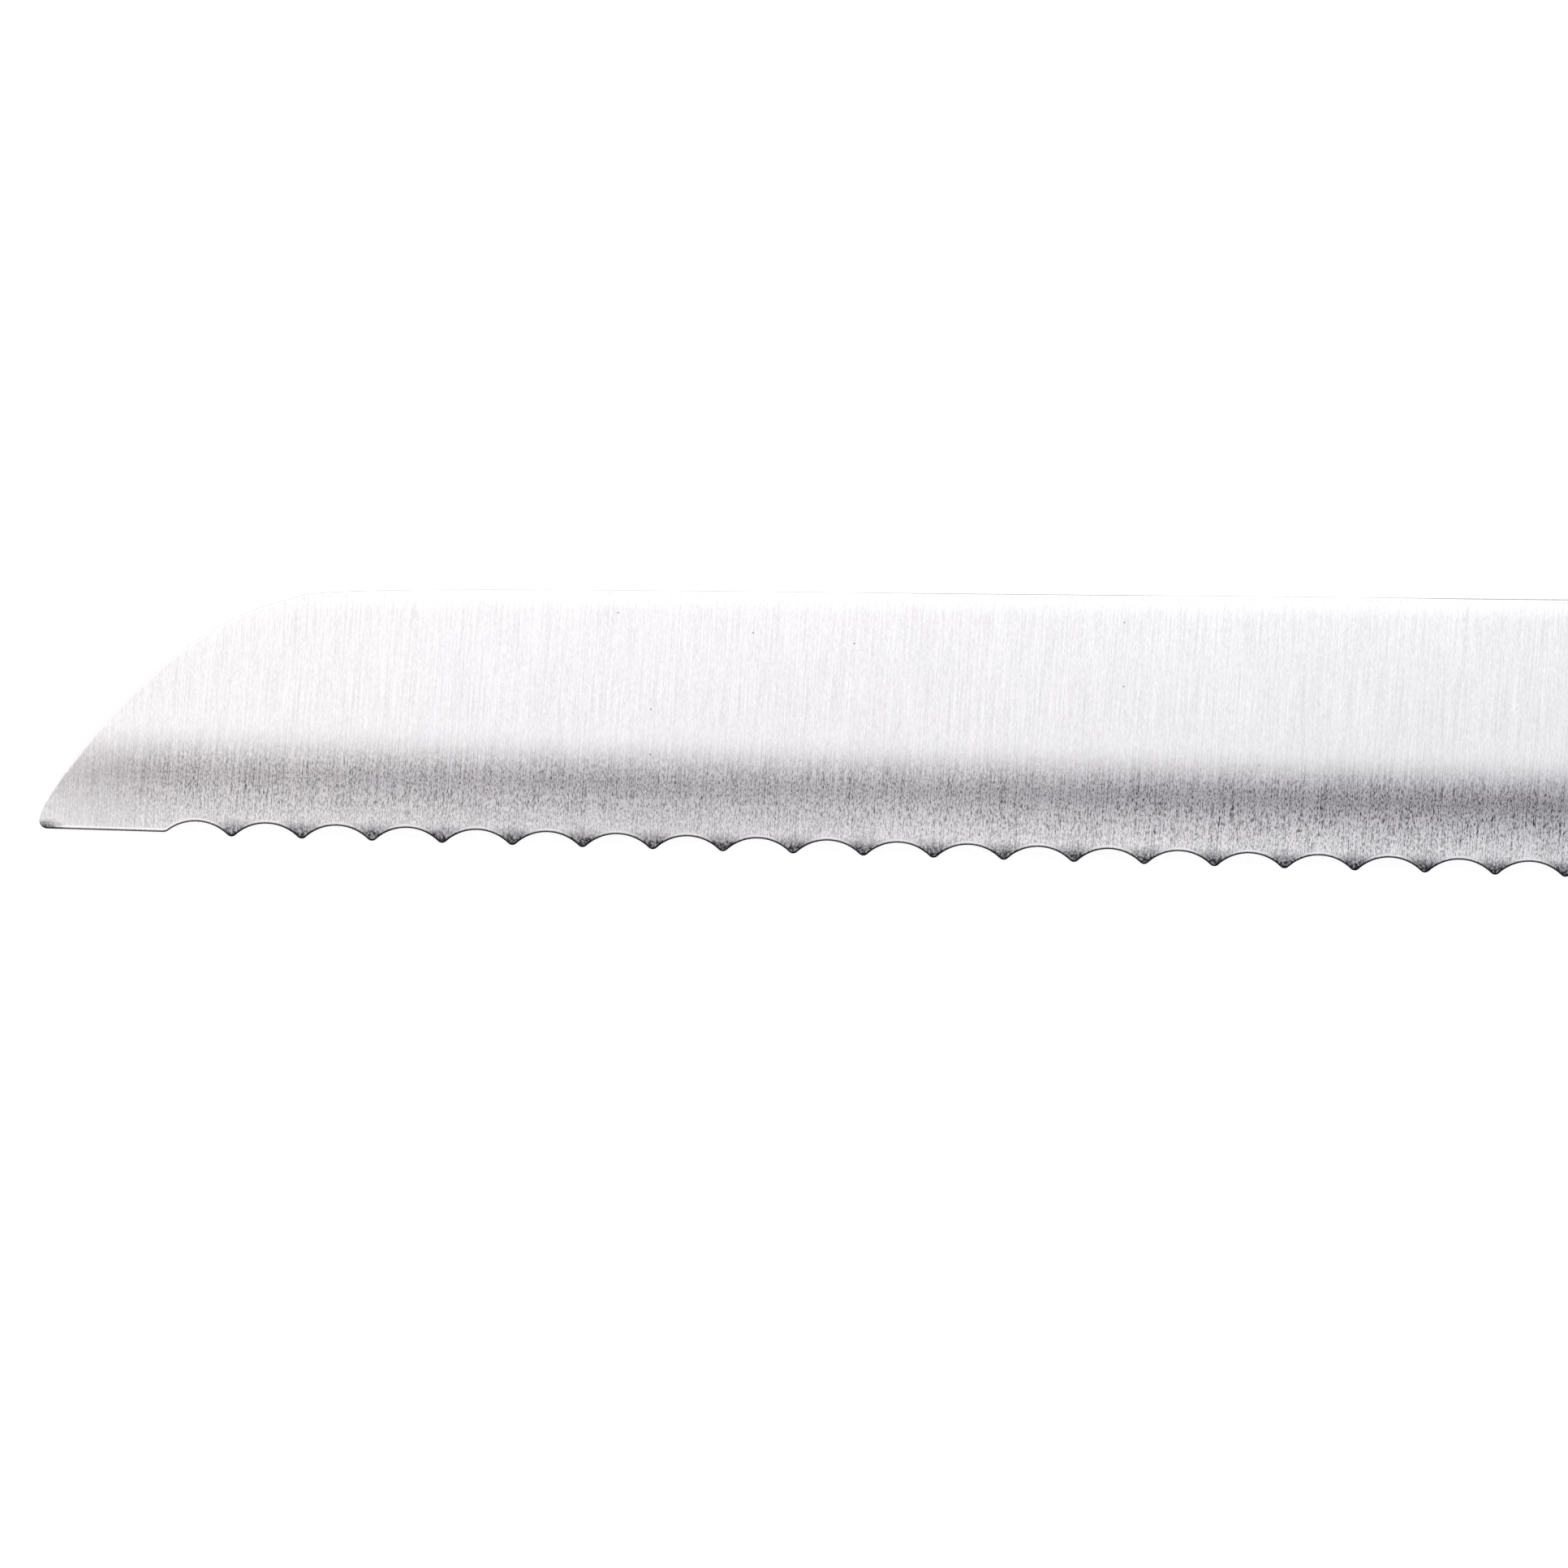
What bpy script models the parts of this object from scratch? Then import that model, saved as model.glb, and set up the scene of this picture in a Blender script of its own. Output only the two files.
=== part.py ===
"""Bread knife: a scalloped steel blade with a full tang, a two-part bolster and a riveted wooden handle.

Metres, +Z up. The knife lies on its right side. X runs from the tip to the butt, Y from the edge up to
the spine and Z through the thickness. The table is the plane Z = 0, under the handle's right flank.
"""
import math

import bmesh
import bpy
from mathutils import Matrix, Vector, geometry

MM = 0.001
GAP = 0.3 * MM                       # left between two pieces that touch

# The blade, measured from its tip and down from the straight spine.
BLADE_LENGTH = 240 * MM              # tip to heel
SPINE_THICKNESS = 2.0 * MM
EDGE_THICKNESS = 0.4 * MM
EDGE_DROP_AT_TIP = 28.1 * MM         # tooth line below the spine line, level with the tip
EDGE_TAPER = 0.0206                  # how fast the tooth line falls away from the spine
GRIND_HEIGHT = 13.0 * MM             # where the hollow grind has run out into the flat
GRIND_STEEPEST = 7.7 * MM            # where the grind turns from hollow to rounded shoulder
GRIND_EDGE_SLOPE = 0.035             # slope of each side at the tooth line
HEEL_ROUNDING = 1.0 * MM             # of the blade's lower corners
CHOIL_TOP = 24.0 * MM                # where the heel turns into the tang, below the spine

# The scalloped edge.
TOOTH_PITCH = 8.0 * MM
FIRST_SCALLOP = 17.9 * MM            # middle of the scallop nearest the tip
SCALLOP_COUNT = 28
SCALLOP_CHORD = 7.36 * MM
SCALLOP_DEPTH = 1.75 * MM
SCALLOP_LEAN = math.radians(20)      # between the grinding direction and the blade's plane
SCALLOP_TOOL_HALF_THICKNESS = 1.6 * MM
TIP_FLAT_INSET = 0.28 * MM           # plain edge near the tip, above the tooth line

# The handle, measured from the heel.
HANDLE_LENGTH = 130 * MM
HANDLE_THICKNESS = 18.6 * MM
HANDLE_ROUNDING = 4.5 * MM
TANG_THICKNESS = 2.3 * MM
TANG_START = 1.5 * MM
BOLSTER_FRONT = 3.0 * MM
BOLSTER_REAR = 17.0 * MM
BOLSTER_NOSE_THICKNESS = 4.0 * MM    # how far each half stands out at its front
BOLSTER_SLOPE_LENGTH = 6.5 * MM

# Fasteners. Each handle rivet is a tube with a head and a solid pin with a head, pressed together.
RIVET_PLACES = {
    "front": (31 * MM, -11.2 * MM),
    "middle": (68 * MM, -12.9 * MM),
    "rear": (104 * MM, -13.2 * MM),
}
RIVET_HEAD_RADIUS = 4.0 * MM
RIVET_HEAD_THICKNESS = 1.6 * MM
RIVET_TUBE_RADIUS = 2.5 * MM
RIVET_PIN_RADIUS = 1.4 * MM
RIVET_BORE_PAST_HEAD = 0.2 * MM      # how far the tube's bore runs on into its head
BOLSTER_PIN_PLACES = {"upper": (12.6 * MM, -6.8 * MM), "lower": (12.6 * MM, -16.8 * MM)}
BOLSTER_PIN_RADIUS = 1.5 * MM
FLUSH_RECESS = 0.03 * MM             # heads sit this far below the flank they are ground flush with

# Placing: the origin is the middle of the whole knife's footprint, on the table.
OVERALL_LENGTH = BLADE_LENGTH + HANDLE_LENGTH
EDGE_DROP_AT_HEEL = EDGE_DROP_AT_TIP + EDGE_TAPER * BLADE_LENGTH
TIP_X = -OVERALL_LENGTH / 2
HEEL_X = TIP_X + BLADE_LENGTH
SPINE_Y = EDGE_DROP_AT_HEEL / 2
MID_Z = HANDLE_THICKNESS / 2
LEFT = 1
RIGHT = -1

CURVE_STEPS = 10
SHORT_CURVE_STEPS = 4
ROUND_STEPS = 40
GRIND_STEPS = 11
SCALLOP_STEPS = 12
SLOPE_STEPS = 8
BEVEL_STEPS = 5

# How far the cutting tools reach past the metal or wood that they take away.
OVERCUT = 2 * MM
WIDE_OVERCUT = 20 * MM
TALL_TOOL = 80 * MM


def clear_scene():
    for thing in list(bpy.data.objects):
        bpy.data.objects.remove(thing)


def new_collection(name):
    collection = bpy.data.collections.new(name)
    bpy.context.scene.collection.children.link(collection)
    return collection


def principled(name, colour, roughness, metallic):
    material = bpy.data.materials.new(name)
    material.use_nodes = True
    shader = material.node_tree.nodes["Principled BSDF"]
    shader.inputs["Base Color"].default_value = (*colour, 1.0)
    shader.inputs["Roughness"].default_value = roughness
    shader.inputs["Metallic"].default_value = metallic
    material.diffuse_color = (*colour, 1.0)
    return material


def add_object(name, mesh, collection, material=None):
    thing = bpy.data.objects.new(name, mesh)
    collection.objects.link(thing)
    if material:
        mesh.materials.append(material)
    else:
        thing.display_type = "WIRE"
        thing.hide_render = True
    return thing


def outline_mesh(name, points, half_thickness):
    """A flat outline in the XY plane, thickened evenly to both sides, as a closed mesh."""
    curve = bpy.data.curves.new(name, "CURVE")
    curve.dimensions = "2D"
    curve.fill_mode = "BOTH"
    curve.extrude = half_thickness
    spline = curve.splines.new("POLY")
    spline.points.add(len(points) - 1)
    for target, (x, y) in zip(spline.points, points):
        target.co = (x, y, 0.0, 1.0)
    spline.use_cyclic_u = True
    source = bpy.data.objects.new(name + "_outline", curve)
    bpy.context.scene.collection.objects.link(source)
    evaluated = source.evaluated_get(bpy.context.evaluated_depsgraph_get())
    mesh = bpy.data.meshes.new_from_object(evaluated)
    bpy.data.objects.remove(source)
    mesh.materials.clear()
    mesh.name = name
    solid = bmesh.new()
    solid.from_mesh(mesh)
    bmesh.ops.remove_doubles(solid, verts=solid.verts, dist=1e-6)
    bmesh.ops.dissolve_limit(solid, angle_limit=math.radians(0.1), verts=solid.verts, edges=solid.edges)
    bmesh.ops.recalc_face_normals(solid, faces=solid.faces)
    solid.to_mesh(mesh)
    solid.free()
    return mesh


def cut(target, cutter):
    modifier = target.modifiers.new(cutter.name, "BOOLEAN")
    modifier.operation = "DIFFERENCE"
    modifier.solver = "EXACT"
    modifier.object = cutter


def round_cutter(name, radius, x, y, z_low, z_high, collection):
    """A drill standing upright, between two heights."""
    solid = bmesh.new()
    bmesh.ops.create_cone(
        solid, cap_ends=True, segments=ROUND_STEPS, radius1=radius, radius2=radius, depth=z_high - z_low
    )
    mesh = bpy.data.meshes.new(name)
    solid.to_mesh(mesh)
    solid.free()
    cutter = add_object(name, mesh, collection)
    cutter.location = (x, y, (z_low + z_high) / 2)
    return cutter


def through_cutter(name, radius, x, y, collection):
    return round_cutter(name, radius, x, y, -OVERCUT, HANDLE_THICKNESS + OVERCUT, collection)


def turned(name, profile, x, y, collection, material):
    """A round piece: its profile at +X runs from the axis down the outside, then back to the axis."""
    mesh = bpy.data.meshes.new(name)
    edges = [(index, index + 1) for index in range(len(profile) - 1)]
    mesh.from_pydata([(radius, 0.0, z) for radius, z in profile], edges, [])
    piece = add_object(name, mesh, collection, material)
    piece.location = (x, y, 0.0)
    screw = piece.modifiers.new("Turn", "SCREW")
    screw.axis = "Z"
    screw.steps = ROUND_STEPS
    screw.render_steps = ROUND_STEPS
    screw.use_merge_vertices = True
    screw.merge_threshold = 1e-6
    screw.use_smooth_shade = True
    return piece


def bezier(start, start_handle, end_handle, end, steps=CURVE_STEPS):
    """Points along one Bezier span, without its last point, so that spans can follow each other."""
    corners = [Vector(point).to_3d() for point in (start, start_handle, end_handle, end)]
    points = geometry.interpolate_bezier(*corners, steps + 1)
    return [(point.x, point.y) for point in points[:-1]]


def from_tip(x, drop):
    """A point given from the blade's tip and down from the spine line."""
    return (TIP_X + x, SPINE_Y - drop)


def from_heel(x, drop):
    return (HEEL_X + x, SPINE_Y - drop)


def tooth_line_drop(x):
    """Depth of the tooth line below the spine line, at a distance from the tip."""
    return EDGE_DROP_AT_TIP + EDGE_TAPER * x


def nose_outline():
    """From the plain edge round the lower corner, then up the long curve to the spine."""
    flat_drop = tooth_line_drop(0) - TIP_FLAT_INSET
    lower = from_tip(1.1 * MM, flat_drop)
    lower_handle = from_tip(0.5 * MM, flat_drop)
    front = from_tip(0.0, flat_drop - 1.0 * MM)
    front_handle = from_tip(0.0, flat_drop - 0.4 * MM)
    middle = from_tip(28.1 * MM, 1.38 * MM)
    spine = from_tip(70 * MM, 0.0)
    corner = bezier(lower, lower_handle, front_handle, front, SHORT_CURVE_STEPS)
    rise = bezier(front, from_tip(0.0, 24.2 * MM), from_tip(13.2 * MM, 4.65 * MM), middle, CURVE_STEPS * 2)
    crest = bezier(middle, from_tip(30.6 * MM, 0.85 * MM), from_tip(34.0 * MM, 0.0), spine)
    return corner + rise + crest


def handle_top_and_butt():
    """Along the top of the handle from the spine, round the butt and to the tip of its hook."""
    top_rear = from_heel(114 * MM, 1.9 * MM)
    butt = from_heel(HANDLE_LENGTH, 13.5 * MM)
    hook = from_heel(120 * MM, 29.2 * MM)
    top = bezier(from_tip(205 * MM, 0.0), from_heel(30 * MM, 0.0), from_heel(86 * MM, 0.0), top_rear)
    shoulder = bezier(top_rear, from_heel(122 * MM, 2.9 * MM), from_heel(HANDLE_LENGTH, 6 * MM), butt)
    rear = bezier(butt, from_heel(HANDLE_LENGTH, 21 * MM), from_heel(127.5 * MM, 29.2 * MM), hook)
    return top + shoulder + rear


def handle_underside():
    """From the hook, over the palm swell and the finger groove, to the front of the bolster."""
    hook = from_heel(120 * MM, 29.2 * MM)
    neck = from_heel(98 * MM, 25.0 * MM)
    palm = from_heel(64 * MM, 26.0 * MM)
    groove = from_heel(27 * MM, 22.2 * MM)
    front = from_heel(BOLSTER_FRONT, 24.0 * MM)
    hook_span = bezier(hook, from_heel(112 * MM, 29.2 * MM), from_heel(107 * MM, 25.0 * MM), neck)
    palm_span = bezier(neck, from_heel(88 * MM, 25.0 * MM), from_heel(78 * MM, 26.0 * MM), palm)
    groove_span = bezier(palm, from_heel(50 * MM, 26.0 * MM), from_heel(39 * MM, 22.2 * MM), groove)
    front_span = bezier(groove, from_heel(18 * MM, 22.2 * MM), from_heel(9 * MM, 23.3 * MM), front)
    return hook_span + palm_span + groove_span + front_span + [front]


def handle_outline():
    """The closed outline of the handle alone, cut off square at the front of the bolster."""
    top_front = from_heel(BOLSTER_FRONT, 0.0)
    top = [point for point in handle_top_and_butt() if point[0] > top_front[0] + MM]
    return [top_front] + top + handle_underside()


def blade_outline():
    """The closed outline of the blade and its tang, before the scallops are ground."""
    choil = from_heel(1.2 * MM, CHOIL_TOP)
    choil_handle = from_heel(0.5 * MM, CHOIL_TOP)
    heel_top = from_heel(0.0, CHOIL_TOP + 1.2 * MM)
    heel_top_handle = from_heel(0.0, CHOIL_TOP + 0.5 * MM)
    heel_corner = from_heel(0.0, EDGE_DROP_AT_HEEL - HEEL_ROUNDING)
    corner_handle = from_heel(0.0, EDGE_DROP_AT_HEEL - HEEL_ROUNDING / 2)
    heel_edge = from_heel(-HEEL_ROUNDING, EDGE_DROP_AT_HEEL)
    edge_handle = from_heel(-HEEL_ROUNDING / 2, EDGE_DROP_AT_HEEL)
    step_x = FIRST_SCALLOP
    step = [
        from_tip(step_x, tooth_line_drop(step_x)),
        from_tip(step_x, tooth_line_drop(step_x) - TIP_FLAT_INSET),
    ]
    choil_arc = bezier(choil, choil_handle, heel_top_handle, heel_top, SHORT_CURVE_STEPS)
    corner_arc = bezier(heel_corner, corner_handle, edge_handle, heel_edge, SHORT_CURVE_STEPS)
    handle = handle_top_and_butt() + handle_underside()
    return nose_outline() + handle + choil_arc + [heel_top] + corner_arc + [heel_edge] + step


def half_thickness(height):
    """Half the blade's thickness at a height above the tooth line: hollow, then a rounded shoulder."""
    full = SPINE_THICKNESS / 2
    thin = EDGE_THICKNESS / 2
    shoulder = GRIND_HEIGHT - GRIND_STEEPEST
    steepest = (2 * (full - thin) - GRIND_EDGE_SLOPE * GRIND_STEEPEST) / GRIND_HEIGHT
    if height >= GRIND_HEIGHT:
        return full
    if height >= GRIND_STEEPEST:
        return full - steepest / (2 * shoulder) * (GRIND_HEIGHT - height) ** 2
    bend = (steepest - GRIND_EDGE_SLOPE) / (2 * GRIND_STEEPEST)
    return thin + GRIND_EDGE_SLOPE * height + bend * height ** 2


def grind_cutter(side, collection):
    """Everything outside one face of the finished blade, from the edge up past the spine."""
    outside = SPINE_THICKNESS + OVERCUT
    profile = [(-OVERCUT, half_thickness(-OVERCUT))]
    for step in range(GRIND_STEPS + 1):
        height = GRIND_HEIGHT * step / GRIND_STEPS
        profile.append((height, half_thickness(height)))
    profile += [(TALL_TOOL, SPINE_THICKNESS / 2), (TALL_TOOL, outside), (-OVERCUT, outside)]
    length = BLADE_LENGTH + WIDE_OVERCUT
    name = "left_face_cutter" if side == LEFT else "right_face_cutter"
    mesh = outline_mesh(name, profile, length / 2)
    # The outline's X becomes the height above the tooth line, and its Y the thickness.
    along = Vector((1.0, -EDGE_TAPER, 0.0)).normalized()
    upward = Vector((-along.y, along.x, 0.0))
    outward = Vector((0.0, 0.0, side))
    turn = Matrix((upward, outward, along)).transposed().to_4x4()
    end = Vector((*from_heel(TANG_START, tooth_line_drop(BLADE_LENGTH + TANG_START)), MID_Z))
    mesh.transform(Matrix.Translation(end - along * length / 2) @ turn)
    if side == RIGHT:
        mesh.flip_normals()
    return add_object(name, mesh, collection)


def scallop_outline():
    """One scallop cutter: an arc on top and straight sides below."""
    half_chord = SCALLOP_CHORD / 2
    radius = (half_chord ** 2 + SCALLOP_DEPTH ** 2) / (2 * SCALLOP_DEPTH)
    reach = math.asin(half_chord / radius)
    arc = []
    for step in range(SCALLOP_STEPS + 1):
        angle = reach * (1 - 2 * step / SCALLOP_STEPS)
        arc.append((radius * math.sin(angle), radius * math.cos(angle) - radius + SCALLOP_DEPTH))
    return [(-half_chord, -OVERCUT), (half_chord, -OVERCUT)] + arc


def scallop_cutter(collection):
    """All the scallops, ground from the right side, so that the cut climbs as it goes through."""
    slant = Matrix.Identity(4)
    slant[1][2] = -1 / math.tan(SCALLOP_LEAN)
    tool = outline_mesh("scallop_tool", scallop_outline(), SCALLOP_TOOL_HALF_THICKNESS)
    tool.transform(slant)
    joined = bmesh.new()
    line_turn = Matrix.Rotation(-math.atan(EDGE_TAPER), 4, "Z")
    left_face = MID_Z + EDGE_THICKNESS / 2
    for index in range(SCALLOP_COUNT):
        x = FIRST_SCALLOP + index * TOOTH_PITCH
        place = Matrix.Translation((*from_tip(x, tooth_line_drop(x)), left_face))
        before = len(joined.verts)
        joined.from_mesh(tool)
        joined.verts.ensure_lookup_table()
        bmesh.ops.transform(joined, matrix=place @ line_turn, verts=joined.verts[before:])
    mesh = bpy.data.meshes.new("scallop_cutter")
    joined.to_mesh(mesh)
    joined.free()
    return add_object("scallop_cutter", mesh, collection)


def build_blade(parts, cutters):
    """The blade and its tang, one piece of steel the whole length of the knife."""
    steel = principled("blade_steel", (0.72, 0.72, 0.72), 0.28, 1.0)
    mesh = outline_mesh("blade", blade_outline(), TANG_THICKNESS / 2)
    blade = add_object("blade", mesh, parts, steel)
    blade.location.z = MID_Z
    for name, (x, y) in RIVET_PLACES.items():
        radius = RIVET_TUBE_RADIUS + GAP
        cut(blade, through_cutter("tang_hole_" + name, radius, HEEL_X + x, SPINE_Y + y, cutters))
    for name, (x, y) in BOLSTER_PIN_PLACES.items():
        radius = BOLSTER_PIN_RADIUS + GAP
        cut(blade, through_cutter("tang_pin_hole_" + name, radius, HEEL_X + x, SPINE_Y + y, cutters))
    # The holes come first: the tang is still one plain slab then.
    cut(blade, grind_cutter(LEFT, cutters))
    cut(blade, grind_cutter(RIGHT, cutters))
    cut(blade, scallop_cutter(cutters))


def rounded_slab(name, side, collection, material):
    """One side of the whole handle, with its outer edge rounded, from the tang out to the flank."""
    inner = TANG_THICKNESS / 2 + GAP
    outer = HANDLE_THICKNESS / 2
    mesh = outline_mesh(name, handle_outline(), (outer - inner) / 2)
    weights = mesh.attributes.new("bevel_weight_edge", "FLOAT", "EDGE")
    for edge in mesh.edges:
        start, end = (mesh.vertices[index].co.z * side for index in edge.vertices)
        weights.data[edge.index].value = 1.0 if min(start, end) > 0 else 0.0
    slab = add_object(name, mesh, collection, material)
    slab.location.z = MID_Z + side * (inner + outer) / 2
    bevel = slab.modifiers.new("Rounding", "BEVEL")
    bevel.limit_method = "WEIGHT"
    bevel.width = HANDLE_ROUNDING
    bevel.segments = BEVEL_STEPS
    bevel.use_clamp_overlap = False
    return slab


def block_cutter(name, x_low, x_high, collection):
    """A plain block across the whole handle, between two places along it."""
    solid = bmesh.new()
    bmesh.ops.create_cube(solid, size=1.0)
    size = Matrix.Diagonal((x_high - x_low, TALL_TOOL, TALL_TOOL, 1.0))
    bmesh.ops.transform(solid, matrix=size, verts=solid.verts)
    mesh = bpy.data.meshes.new(name)
    solid.to_mesh(mesh)
    solid.free()
    cutter = add_object(name, mesh, collection)
    cutter.location = (HEEL_X + (x_low + x_high) / 2, 0.0, MID_Z)
    return cutter


def build_scale(side, parts, cutters):
    """One wooden handle scale, with a stepped bore for each rivet's body and head."""
    name = "scale_left" if side == LEFT else "scale_right"
    wood = principled(name + "_wood", (0.17, 0.06, 0.035), 0.45, 0.0)
    scale = rounded_slab(name, side, parts, wood)
    cut(scale, block_cutter(name + "_front_cutter", -WIDE_OVERCUT, BOLSTER_REAR + GAP, cutters))
    flank = MID_Z + side * HANDLE_THICKNESS / 2
    seat = flank - side * (RIVET_HEAD_THICKNESS + FLUSH_RECESS + GAP)
    beyond = flank + side * OVERCUT
    for place, (x, y) in RIVET_PLACES.items():
        centre = (HEEL_X + x, SPINE_Y + y)
        low = min(seat, beyond)
        high = max(seat, beyond)
        head_radius = RIVET_HEAD_RADIUS + GAP
        bore = through_cutter(name + "_bore_" + place, RIVET_TUBE_RADIUS + GAP, *centre, cutters)
        recess = round_cutter(name + "_recess_" + place, head_radius, *centre, low, high, cutters)
        cut(scale, bore)
        cut(scale, recess)


def bolster_slope_cutter(name, side, collection):
    """What is taken off the front of a bolster half, so that it rises in a curve from the blade."""
    front = BOLSTER_FRONT
    low = BOLSTER_NOSE_THICKNESS
    high = HANDLE_THICKNESS / 2
    outside = high + OVERCUT
    before = front - OVERCUT
    curve = []
    for step in range(SLOPE_STEPS + 1):
        angle = math.pi / 2 * step / SLOPE_STEPS
        x = front + BOLSTER_SLOPE_LENGTH * (1 - math.cos(angle))
        curve.append((x, low + (high - low) * math.sin(angle)))
    points = [(before, low)] + curve + [(front + BOLSTER_SLOPE_LENGTH, outside), (before, outside)]
    mesh = outline_mesh(name, points, TALL_TOOL / 2)
    stand = Matrix(((1, 0, 0, HEEL_X), (0, 0, -side, 0), (0, side, 0, MID_Z), (0, 0, 0, 1)))
    mesh.transform(stand)
    return add_object(name, mesh, collection)


def build_bolster(side, parts, cutters):
    """One half of the bolster: the front of the handle's outline, sloped down to the blade."""
    name = "bolster_left" if side == LEFT else "bolster_right"
    steel = principled(name + "_steel", (0.66, 0.66, 0.67), 0.22, 1.0)
    bolster = rounded_slab(name, side, parts, steel)
    beyond = HANDLE_LENGTH + WIDE_OVERCUT
    cut(bolster, block_cutter(name + "_rear_cutter", BOLSTER_REAR, beyond, cutters))
    cut(bolster, bolster_slope_cutter(name + "_slope_cutter", side, cutters))
    for place, (x, y) in BOLSTER_PIN_PLACES.items():
        radius = BOLSTER_PIN_RADIUS + GAP
        cut(bolster, through_cutter(name + "_bore_" + place, radius, HEEL_X + x, SPINE_Y + y, cutters))


def build_bolster_pins(parts):
    """Two plain pins through both bolster halves and the tang, peened over and ground flush."""
    steel = principled("bolster_pin_steel", (0.66, 0.66, 0.67), 0.25, 1.0)
    low = FLUSH_RECESS
    high = HANDLE_THICKNESS - FLUSH_RECESS
    radius = BOLSTER_PIN_RADIUS
    for place, (x, y) in BOLSTER_PIN_PLACES.items():
        profile = [(0.0, high), (radius, high), (radius, low), (0.0, low)]
        turned("bolster_pin_" + place, profile, HEEL_X + x, SPINE_Y + y, parts, steel)


def build_rivets(parts):
    """A tube with a head from the left and a solid pin with a head from the right, three times."""
    steel = principled("rivet_steel", (0.70, 0.70, 0.69), 0.25, 1.0)
    top = HANDLE_THICKNESS - FLUSH_RECESS
    bottom = FLUSH_RECESS
    head_under = top - RIVET_HEAD_THICKNESS
    pin_shoulder = bottom + RIVET_HEAD_THICKNESS
    tube_end = pin_shoulder + GAP
    bore_end = head_under + RIVET_BORE_PAST_HEAD
    bore = RIVET_PIN_RADIUS + GAP
    tube_profile = [
        (0.0, top), (RIVET_HEAD_RADIUS, top), (RIVET_HEAD_RADIUS, head_under), (RIVET_TUBE_RADIUS, head_under),
        (RIVET_TUBE_RADIUS, tube_end), (bore, tube_end), (bore, bore_end), (0.0, bore_end),
    ]
    pin_profile = [
        (0.0, bore_end - GAP), (RIVET_PIN_RADIUS, bore_end - GAP), (RIVET_PIN_RADIUS, pin_shoulder),
        (RIVET_HEAD_RADIUS, pin_shoulder), (RIVET_HEAD_RADIUS, bottom), (0.0, bottom),
    ]
    for place, (x, y) in RIVET_PLACES.items():
        turned("rivet_" + place + "_tube", tube_profile, HEEL_X + x, SPINE_Y + y, parts, steel)
        turned("rivet_" + place + "_pin", pin_profile, HEEL_X + x, SPINE_Y + y, parts, steel)


def main():
    clear_scene()
    parts = new_collection("bread_knife")
    cutters = new_collection("cutters")
    build_blade(parts, cutters)
    for side in (LEFT, RIGHT):
        build_bolster(side, parts, cutters)
        build_scale(side, parts, cutters)
    build_bolster_pins(parts)
    build_rivets(parts)


main()
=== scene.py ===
"""Looks of the bread knife: brushed, hollow-ground steel, a polished bolster and a riveted laminated handle.

The knife lies on a pale table with its left side up. Lengths in this script are in millimetres, counted
from the blade's tip (x), from the straight spine (y, down is negative) and from the blade's middle plane
(z, the left side is positive), until to_world() places them.
"""

import math

import bmesh
import bpy
import numpy as np
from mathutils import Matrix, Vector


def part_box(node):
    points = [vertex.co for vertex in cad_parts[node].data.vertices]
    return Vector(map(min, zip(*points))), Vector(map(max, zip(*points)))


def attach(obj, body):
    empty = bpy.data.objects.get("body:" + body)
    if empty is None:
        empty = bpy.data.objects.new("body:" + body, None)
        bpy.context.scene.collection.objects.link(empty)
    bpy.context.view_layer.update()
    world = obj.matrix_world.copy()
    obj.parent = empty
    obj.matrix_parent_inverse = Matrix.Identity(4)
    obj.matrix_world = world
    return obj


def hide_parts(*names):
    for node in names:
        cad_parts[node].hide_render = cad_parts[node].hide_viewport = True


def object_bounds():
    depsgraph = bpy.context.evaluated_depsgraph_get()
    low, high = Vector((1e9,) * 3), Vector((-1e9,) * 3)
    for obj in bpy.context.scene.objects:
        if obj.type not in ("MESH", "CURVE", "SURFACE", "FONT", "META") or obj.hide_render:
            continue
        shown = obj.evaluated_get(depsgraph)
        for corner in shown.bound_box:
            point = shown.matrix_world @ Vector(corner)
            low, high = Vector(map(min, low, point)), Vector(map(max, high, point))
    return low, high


MM = 0.001
QUARTER_TURN = math.pi / 2

# Blade, close to the CAD part.
BLADE_LENGTH = 240.0
HEEL = BLADE_LENGTH
EDGE_DROP_AT_TIP = 28.05             # tooth line below the spine, level with the tip
EDGE_TAPER = 0.0206
HALF_SPINE = 1.0
HALF_EDGE = 0.2
HEEL_CORNER = 1.0                    # rounding of the heel's lower corner
CHOIL_RADIUS = 1.2                   # and of the notch behind it
HALF_TANG = 1.15
TANG_START = 241.5
TANG_BOTTOM = -24.0
LEAST_HEIGHT = 0.02                  # where the blade or the tang runs out

# Hollow grind. A pair is a value near the tip, and the one that it changes to further back.
GRIND_STEEPEST = 6.9                 # height of the steepest place above the tooth line, at the tip
GRIND_WIDENING = 0.0065              # and how fast it climbs towards the heel
GRIND_SHOULDER = 6.0                 # from the steepest place up to the flat
SHOULDER_BEND = -0.10                # where the shoulder's smooth step starts, on grind_profile's scale
GRIND_EDGE_SHARE = (0.27, 0.12)      # slope at the edge, as a share of the steepest
GRIND_HOLLOW = (1.15, 1.45)          # how the slope eases off below the steepest place; 1 is evenly
GRIND_SHAPE_CHANGE = (75.0, 130.0)   # places between which those two change
GRIND_DEPTH_SHARE = (0.975, 0.84)    # depth at the edge, as a share of the CAD part's
GRIND_DEPTH_CHANGE = (70.0, 100.0)
NOSE_GRIND = 0.75                    # the grind is shallower at the very tip
NOSE_REACH = 12.0                    # and full from here on
NOSE_THINNING = 0.4                  # but that much of the difference is taken off the whole nose

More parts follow.
